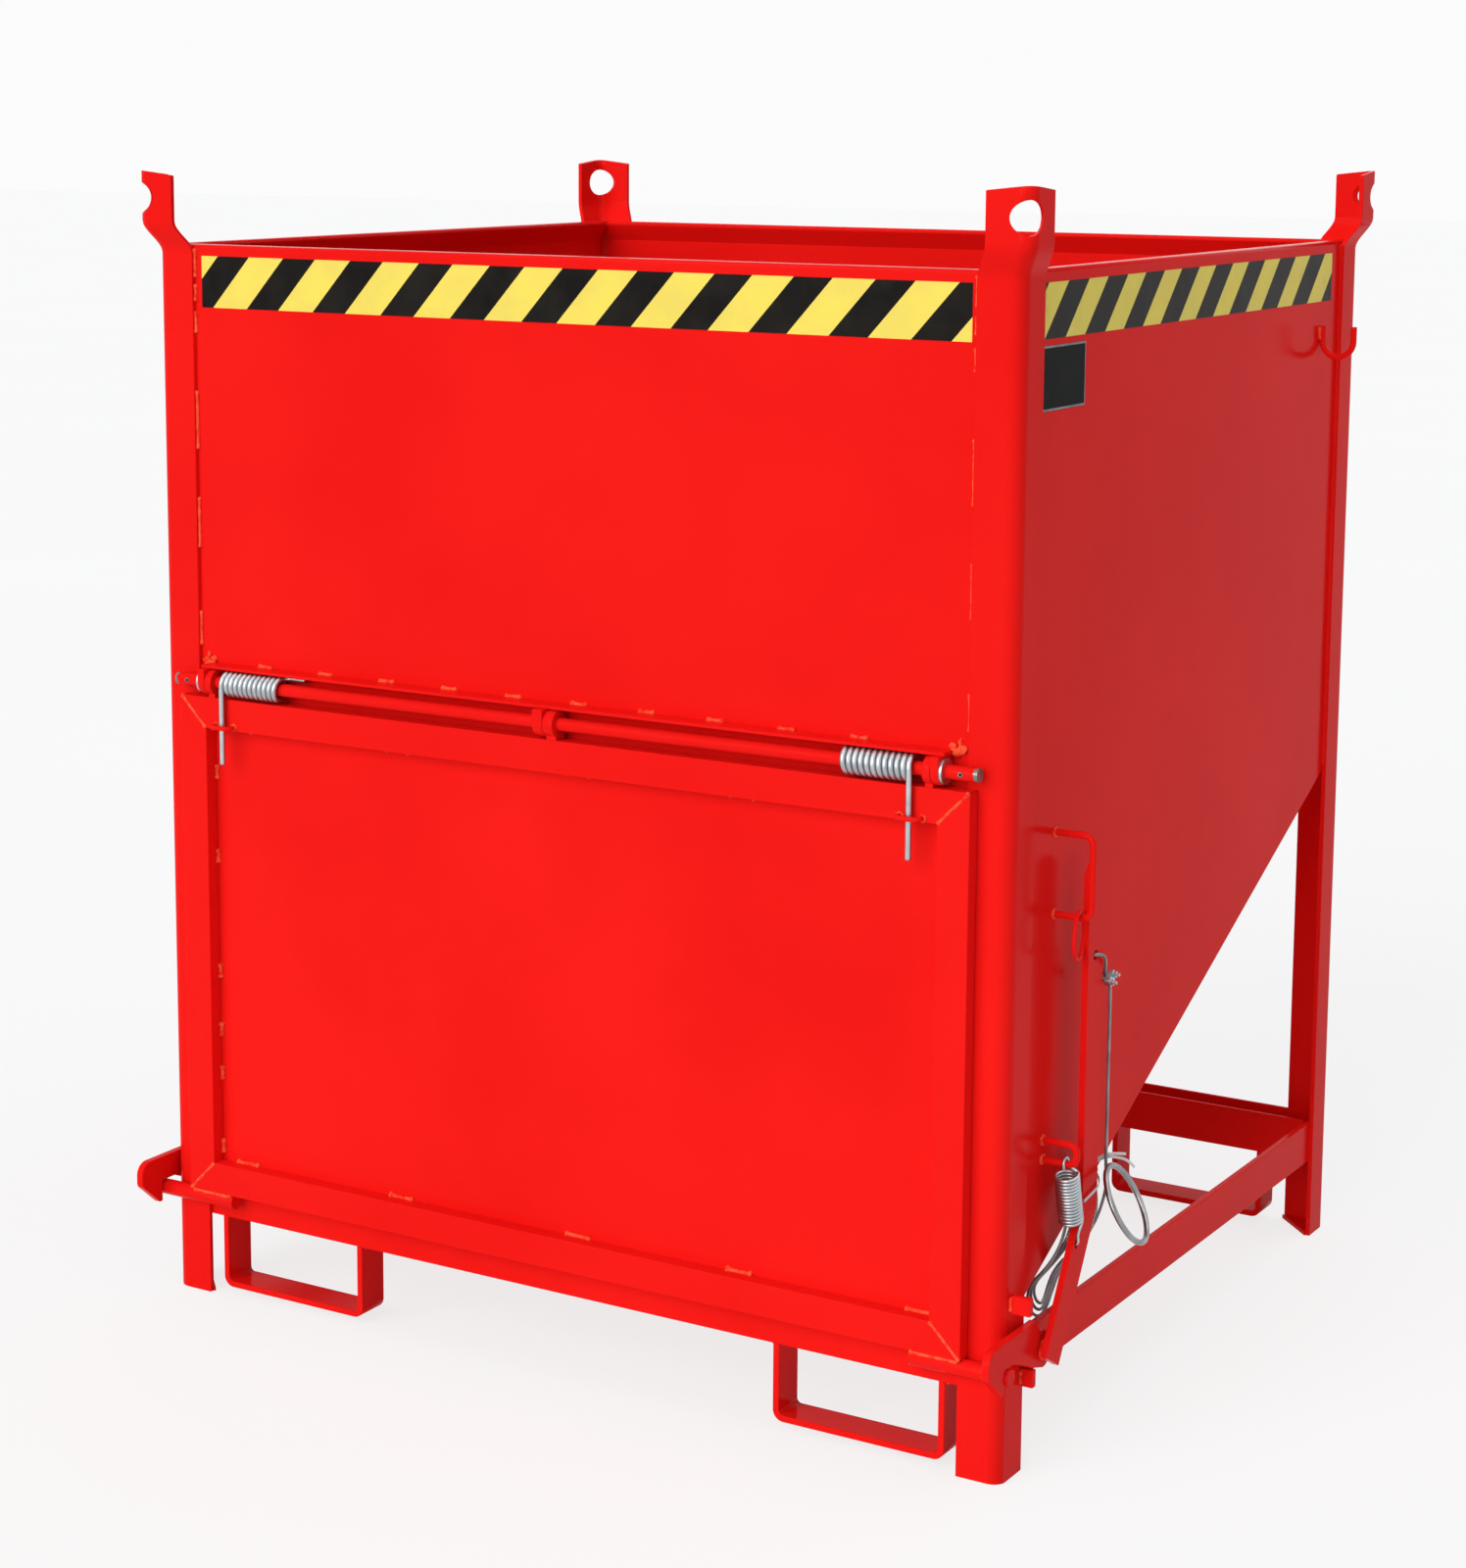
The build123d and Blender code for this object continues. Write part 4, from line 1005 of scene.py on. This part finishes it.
def make_tapes():
    low, high = FRONT_TAPE_SPAN
    bottom, top = FRONT_TAPE_HEIGHTS
    sheet_piece("front_tape", Vector((low, Y_PANEL, bottom)), ALONG_X, (high - low, top - bottom),
                TAPE_THICK, FRONT_TAPE, TAPE_UNEVEN)
    low, high = SIDE_TAPE_SPAN
    bottom, top = SIDE_TAPE_HEIGHTS
    sheet_piece("side_tape", Vector((X_WALL, low, bottom)), ALONG_Y, (high - low, top - bottom),
                TAPE_THICK, SIDE_TAPE, TAPE_UNEVEN)


def make_plate():
    low, high = PLATE_SPAN
    bottom, top = PLATE_HEIGHTS
    edge = PLATE_BORDER
    rim = sheet_piece("label_plate", Vector((X_WALL, low, bottom)), ALONG_Y, (high - low, top - bottom),
                      PLATE_THICK, PLATE_RIM, 0.0)
    soften_edges(rim)
    sheet_piece("label_face", Vector((X_WALL, low + edge, bottom + edge)), ALONG_Y,
                (high - low - 2 * edge, top - bottom - 2 * edge), PLATE_FACE_THICK, PLATE, 0.0)


make_tapes()
make_plate()


# Weld beads: sizes in millimetres, changes as shares of the bead's radius

BEAD_STEP = 1.7
BEAD_SIDES = 8
BEAD_RIPPLE = 3.4
BEAD_RIPPLE_SHARE = 0.07
BEAD_ROUGH_SHARE = 0.20
BEAD_ROUGH_SCALE = 0.11
BEAD_WANDER_SHARE = 0.16
BEAD_WANDER_SCALE = 0.07
# Blender seeds noise_vector from the clock, so it is set here to give the same beads each run
WANDER_SEED = 1
BEAD_TIP = 0.06
RING_RIPPLE_STEPS = 2.2
RING_RIPPLE_SHARE = 0.10
RING_ROUGH_SHARE = 0.22
RING_ROUGH_SCALE = 0.15
# Coarse and fine waves of a lump: share, scale over the lump and scale over its place
LUMP_WAVES = ((0.45, 1.6, 0.13), (0.16, 4.5, 0.2))
# How far a bead's middle stands off the sheet or edge that it lies on
STAND_OFF = 0.8
# Stitches of the hinge shelf: first x, step and number
SHELF_STITCHES = (-440, 94, 10)
SHELF_STITCH_HALF = 12
# Lumps at the ends of the shelf: outwards, forwards and up from its corner, and half sizes
SHELF_LUMPS = (
    ((1, 2, -2), (8.5, 4.5, 5.0)),
    ((8, 1, 1), (6.0, 3.4, 5.5)),
    ((-4, 1, 4), (5.0, 3.0, 4.0)),
    ((5, 0.5, 9), (2.6, 2.0, 4.2)),
)
FLAP_STITCHES_LEVEL = (-475, -231, 33, 259, 497)
FLAP_STITCHES_UPRIGHT = (205, 303, 361, 439, 590, 700)
FLAP_STITCH_HALVES = (19, 10)
FLAP_PIN_FROM = 492
FRONT_SEAM = ((860, 905), (985, 1050), (1110, 1185), (1256, 1284), (1296, 1318), (1326, 1362))
SIDE_SEAM = ((760, 800), (905, 940), (1040, 1075), (1170, 1205), (1284, 1312), (1320, 1362))
REAR_SEAM_LOW = 662.0
HOPPER_BEAD_LIFT = 4.4


def bead(bm, start, end, radius, knobs, sides=BEAD_SIDES):
    """A rippled bead from start to end with fuller ends."""
    start = Vector(start)
    run = Vector(end) - start
    length = run.length
    count = max(6, round(length / BEAD_STEP))
    points = []
    radii = []
    for i in range(count + 1):
        s = length * i / count
        place = start + run * (i / count)
        near_end = min(s, length - s)
        cap = math.sqrt(max(BEAD_TIP, 1 - (1 - min(1.0, near_end / radius)) ** 2))
        knob = 1 + knobs * math.exp(-((near_end - radius) / radius) ** 2)
        wave = BEAD_RIPPLE_SHARE * math.sin(2 * math.pi * s / BEAD_RIPPLE)
        rough = BEAD_ROUGH_SHARE * noise.noise(place * BEAD_ROUGH_SCALE)
        wander = noise.noise_vector(place * BEAD_WANDER_SCALE) * radius * BEAD_WANDER_SHARE
        points.append((place + wander) * 0.001)
        radii.append(radius * cap * knob * (1 + wave + rough) * 0.001)
    add_tube(bm, points, radius, sides, radii=radii)


def upright_bead(bm, x, y, low, high, radius, knobs):
    bead(bm, (x, y, low), (x, y, high), radius, knobs)


def ring_bead(bm, centre, axis, radius, tube):
    """A rippled bead of radius tube round a bar of the given radius along a unit axis."""
    centre = Vector(centre)
    axis = Vector(axis)
    u = axis.orthogonal().normalized()
    v = axis.cross(u)
    count = max(16, round(2 * math.pi * radius / BEAD_STEP))
    rings = []
    for i in range(count):
        a = 2 * math.pi * i / count
        out = u * math.cos(a) + v * math.sin(a)
        place = centre + out * radius
        wave = RING_RIPPLE_SHARE * math.sin(a * round(count / RING_RIPPLE_STEPS))
        rough = RING_ROUGH_SHARE * noise.noise(place * RING_ROUGH_SCALE)
        size = tube * (1 + wave + rough)
        ring = []
        for k in range(BEAD_SIDES):
            b = 2 * math.pi * k / BEAD_SIDES
            offset = out * math.cos(b) + axis * math.sin(b)
            ring.append(bm.verts.new((place + offset * size) * 0.001))
        rings.append(ring)
    join_rings(bm, rings, closed=True)


def lump(bm, centre, size):
    """A rough drop of weld metal with the given half sizes."""
    made = bmesh.ops.create_icosphere(bm, subdivisions=3, radius=1.0)
    centre = Vector(centre)
    for v in made["verts"]:
        way = v.co.normalized()
        rough = 1
        for share, over, at in LUMP_WAVES:
            rough += share * noise.noise(way * over + centre * at)
        reach = Vector((way.x * size[0], way.y * size[1], way.z * size[2]))
        v.co = (centre + reach * rough) * 0.001


def weld_object(name, bm, body, material=WELD):
    piece = object_from(name, bm, material)
    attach(piece, body)


def weld_shelf():
    """Stitches along the top of the hinge shelf, and lumps at its two ends."""
    bm = bmesh.new()
    y, z = Y_PANEL - STAND_OFF, SHELF_TOP + 0.6
    first, step, count = SHELF_STITCHES
    for k in range(count):
        x = first + step * k
        bead(bm, (x - SHELF_STITCH_HALF, y, z), (x + SHELF_STITCH_HALF, y, z), 2.6, 0.5)
    for sx in (-1, 1):
        for (outwards, forwards, up), size in SHELF_LUMPS:
            x = sx * (SHELF_HALF + 2 + outwards)
            lump(bm, (x, Y_PANEL - forwards, SHELF_TOP + up), size)
    weld_object("shelf_welds", bm, "frame")


def weld_flap():
    """Stitches of the panel in its bar frame, the mitres, the pins under the lower bar, the staples."""
    bm = bmesh.new()
    inner_x = FLAP_HALF - BAR_WIDTH
    low = FLAP_BOTTOM + BAR_WIDTH
    high = FLAP_TOP - BAR_WIDTH
    y = FLAP_BACK - 1.0
    level_half, upright_half = FLAP_STITCH_HALVES
    for x in FLAP_STITCHES_LEVEL:
        for z in (low + 1, high - 1):
            bead(bm, (x - level_half, y, z), (x + level_half, y, z), 2.6, 0.9)
    for z in FLAP_STITCHES_UPRIGHT:
        for sx in (-1, 1):
            upright_bead(bm, sx * (inner_x - 1), y, z - upright_half, z + upright_half, 2.6, 0.8)
    face = FLAP_FACE + 0.9
    pin_y, pin_z, pin_radius = FLAP_PIN
    pin_top = pin_z + 8.6
    staple_x, staple_z, staple_half = STAPLE
    for sx in (-1, 1):
        for z_out, z_in in ((FLAP_TOP, high), (FLAP_BOTTOM, low)):
            bead(bm, (sx * (FLAP_HALF - 0.8), face, z_out), (sx * inner_x, face, z_in), 2.1, 0.4)
        pin_from, pin_to = sx * FLAP_PIN_FROM, sx * (FLAP_HALF - 3)
        for at_y in (pin_y - pin_radius * 0.72, pin_y + pin_radius * 0.72):
            bead(bm, (pin_from, at_y, pin_top), (pin_to, at_y, pin_top), 3.0, 0.3)
        for x in (staple_x - staple_half, staple_x + staple_half):
            ring_bead(bm, (sx * x, FLAP_FACE - 0.6, staple_z), (0, 1, 0), 3.6, 1.5)
    weld_object("flap_welds", bm, "flap")


def weld_posts():
    """Stitched seams where the walls meet the posts, and one whole seam at the rear of each side."""
    bm = bmesh.new()
    seam_x = X_POST - POST_LEG - STAND_OFF
    seam_y = Y_FRONT + POST_LEG + STAND_OFF
    for sx in (-1, 1):
        for low, high in FRONT_SEAM:
            for y in (Y_PANEL - STAND_OFF, Y_BACK_WALL + STAND_OFF):
                upright_bead(bm, sx * seam_x, y, low, high, 2.3, 0.5)
        for low, high in SIDE_SEAM:
            upright_bead(bm, sx * (X_WALL + STAND_OFF), seam_y, low, high, 2.3, 0.5)
    weld_object("post_welds", bm, "frame")
    seams = bmesh.new()
    rear_y = Y_REAR - POST_LEG - STAND_OFF
    for sx in (-1, 1):
        upright_bead(seams, sx * (X_WALL + 1.4), rear_y, REAR_SEAM_LOW, RIM - 4, 2.9, 0.0)
    weld_object("seam_welds", seams, "frame", RED)


def weld_hopper():
    """Bead along both sides of the sloping floor, inside the hopper."""
    bm = bmesh.new()
    x = X_WALL - SHEET - 0.5
    start, end = Y_PANEL + 8, Y_BACK_WALL - 6
    z_start = FLOOR_LOW + FLOOR_SLOPE * (start - Y_FRONT) + HOPPER_BEAD_LIFT
    z_end = FLOOR_LOW + FLOOR_SLOPE * (end - Y_FRONT) + HOPPER_BEAD_LIFT
    for sx in (-1, 1):
        bead(bm, (sx * x, start, z_start), (sx * x, end, z_end), 3.0, 0.0, 6)
    weld_object("hopper_welds", bm, "frame")


def weld_fittings():
    """Feet of the wire loops and the rope hook, and the two stops on the right post."""
    bm = bmesh.new()
    for y, heights in ((GUARD_Y, GUARD_HEIGHTS), (ANCHOR_Y, ANCHOR_HEIGHTS)):
        for z in heights:
            ring_bead(bm, (X_WALL + 0.6, y, z), (1, 0, 0), 4.8, 2.0)
    hook_y, low, high = ROPE_HOOK
    for y in (hook_y - 3.6, hook_y + 3.6):
        upright_bead(bm, X_WALL + STAND_OFF, y, low + 1, high - 1, 2.2, 0.3)
    for node in ("stop_tab_upper", "stop_tab_lower"):
        lowest, highest = (corner * 1000 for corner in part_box(node))
        for y in (lowest.y - 0.4, highest.y + 0.4):
            upright_bead(bm, X_POST + 0.7, y, lowest.z + 2, highest.z - 2, 2.2, 0.2)
    weld_object("fitting_welds", bm, "frame")


def weld_straps():
    """Beads where the fork straps meet the sill and the rear rail."""
    bm = bmesh.new()
    inner, outer = STRAP_SIDES
    z = RAIL_LOW - 0.5
    for end in ("front", "rear"):
        for sx, side in ((-1, "left"), (1, "right")):
            lowest, highest = (corner * 1000 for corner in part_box(f"fork_strap_{end}_{side}"))
            for x in (sx * (inner - 0.6), sx * (outer + 0.6)):
                bead(bm, (x, lowest.y + 3, z), (x, highest.y - 3, z), 2.8, 0.3)
    weld_object("strap_welds", bm, "frame")


def weld_latch():
    """Rings where the hooks and the lever sit on the cross shaft."""
    bm = bmesh.new()
    y, z, radius = SHAFT
    outside = HOOK_SIDES[1] + 0.6
    for x, tube in ((-outside, 2.0), (outside, 2.0), (LEVER_INNER - 0.6, 1.8)):
        ring_bead(bm, (x, y, z), (1, 0, 0), radius + 0.9, tube)
    weld_object("latch_welds", bm, "latch")


noise.seed_set(WANDER_SEED)
weld_shelf()
weld_flap()
weld_posts()
weld_hopper()
weld_fittings()
weld_straps()
weld_latch()


# Floor, light and backdrop

def backdrop_rays(tree):
    """1 for the rays that show the backdrop: the camera's, and those off metal or through glass."""
    path = add_node(tree, "ShaderNodeLightPath")
    seen = maths(tree, "MAXIMUM", path.outputs["Is Camera Ray"], path.outputs["Is Glossy Ray"])
    return maths(tree, "MAXIMUM", seen, path.outputs["Is Transmission Ray"])


def make_floor():
    material, tree, shader = new_material("pale_floor")
    place = place_of(tree)
    shade = ramp(tree, cloud(tree, place, 0.8), [(0.3, FLOOR_DULL), (0.7, FLOOR_PALE)])
    tree.links.new(shade, shader.inputs["Base Color"])
    shader.inputs["Roughness"].default_value = FLOOR_ROUGH
    shader.inputs["Specular IOR Level"].default_value = FLOOR_SPECULAR
    glow = add_node(tree, "ShaderNodeEmission", {"Strength": FLOOR_GLOW})
    mix = add_node(tree, "ShaderNodeMixShader")
    tree.links.new(maths(tree, "MULTIPLY", backdrop_rays(tree), FLOOR_SHOW), mix.inputs["Fac"])
    tree.links.new(shader.outputs[0], mix.inputs[1])
    tree.links.new(glow.outputs[0], mix.inputs[2])
    output = next(n for n in tree.nodes if n.type == "OUTPUT_MATERIAL")
    tree.links.new(mix.outputs[0], output.inputs["Surface"])
    bm = bmesh.new()
    bmesh.ops.create_grid(bm, x_segments=1, y_segments=1, size=FLOOR_HALF)
    object_from("floor", bm, material)


def sun_light(name, source, level, angle, colour):
    """A wide soft sun that lights a white sheet facing it to the given level."""
    data = bpy.data.lights.new(name, "SUN")
    data.energy = level * math.pi
    data.angle = math.radians(angle)
    data.color = colour
    lamp = bpy.data.objects.new(name, data)
    lamp.rotation_euler = (-Vector(source)).to_track_quat("-Z", "Y").to_euler()
    bpy.context.scene.collection.objects.link(lamp)


def make_light():
    sun_light("key_light", KEY_FROM, KEY_LEVEL, KEY_ANGLE, KEY_COLOUR)
    sun_light("top_light", TOP_FROM, TOP_LEVEL, TOP_ANGLE, TOP_COLOUR)
    world = bpy.data.worlds.new("studio")
    bpy.context.scene.world = world
    world.use_nodes = True
    tree = world.node_tree
    back = next(n for n in tree.nodes if n.type == "BACKGROUND")
    seen = backdrop_rays(tree)
    colour = ramp(tree, seen, [(0.0, WORLD_COLOUR), (1.0, BACKDROP_COLOUR)])
    tree.links.new(colour, back.inputs["Color"])
    tree.links.new(spread(tree, seen, WORLD_LEVEL, BACKDROP_LEVEL, 0.0, 1.0), back.inputs["Strength"])


make_floor()
make_light()
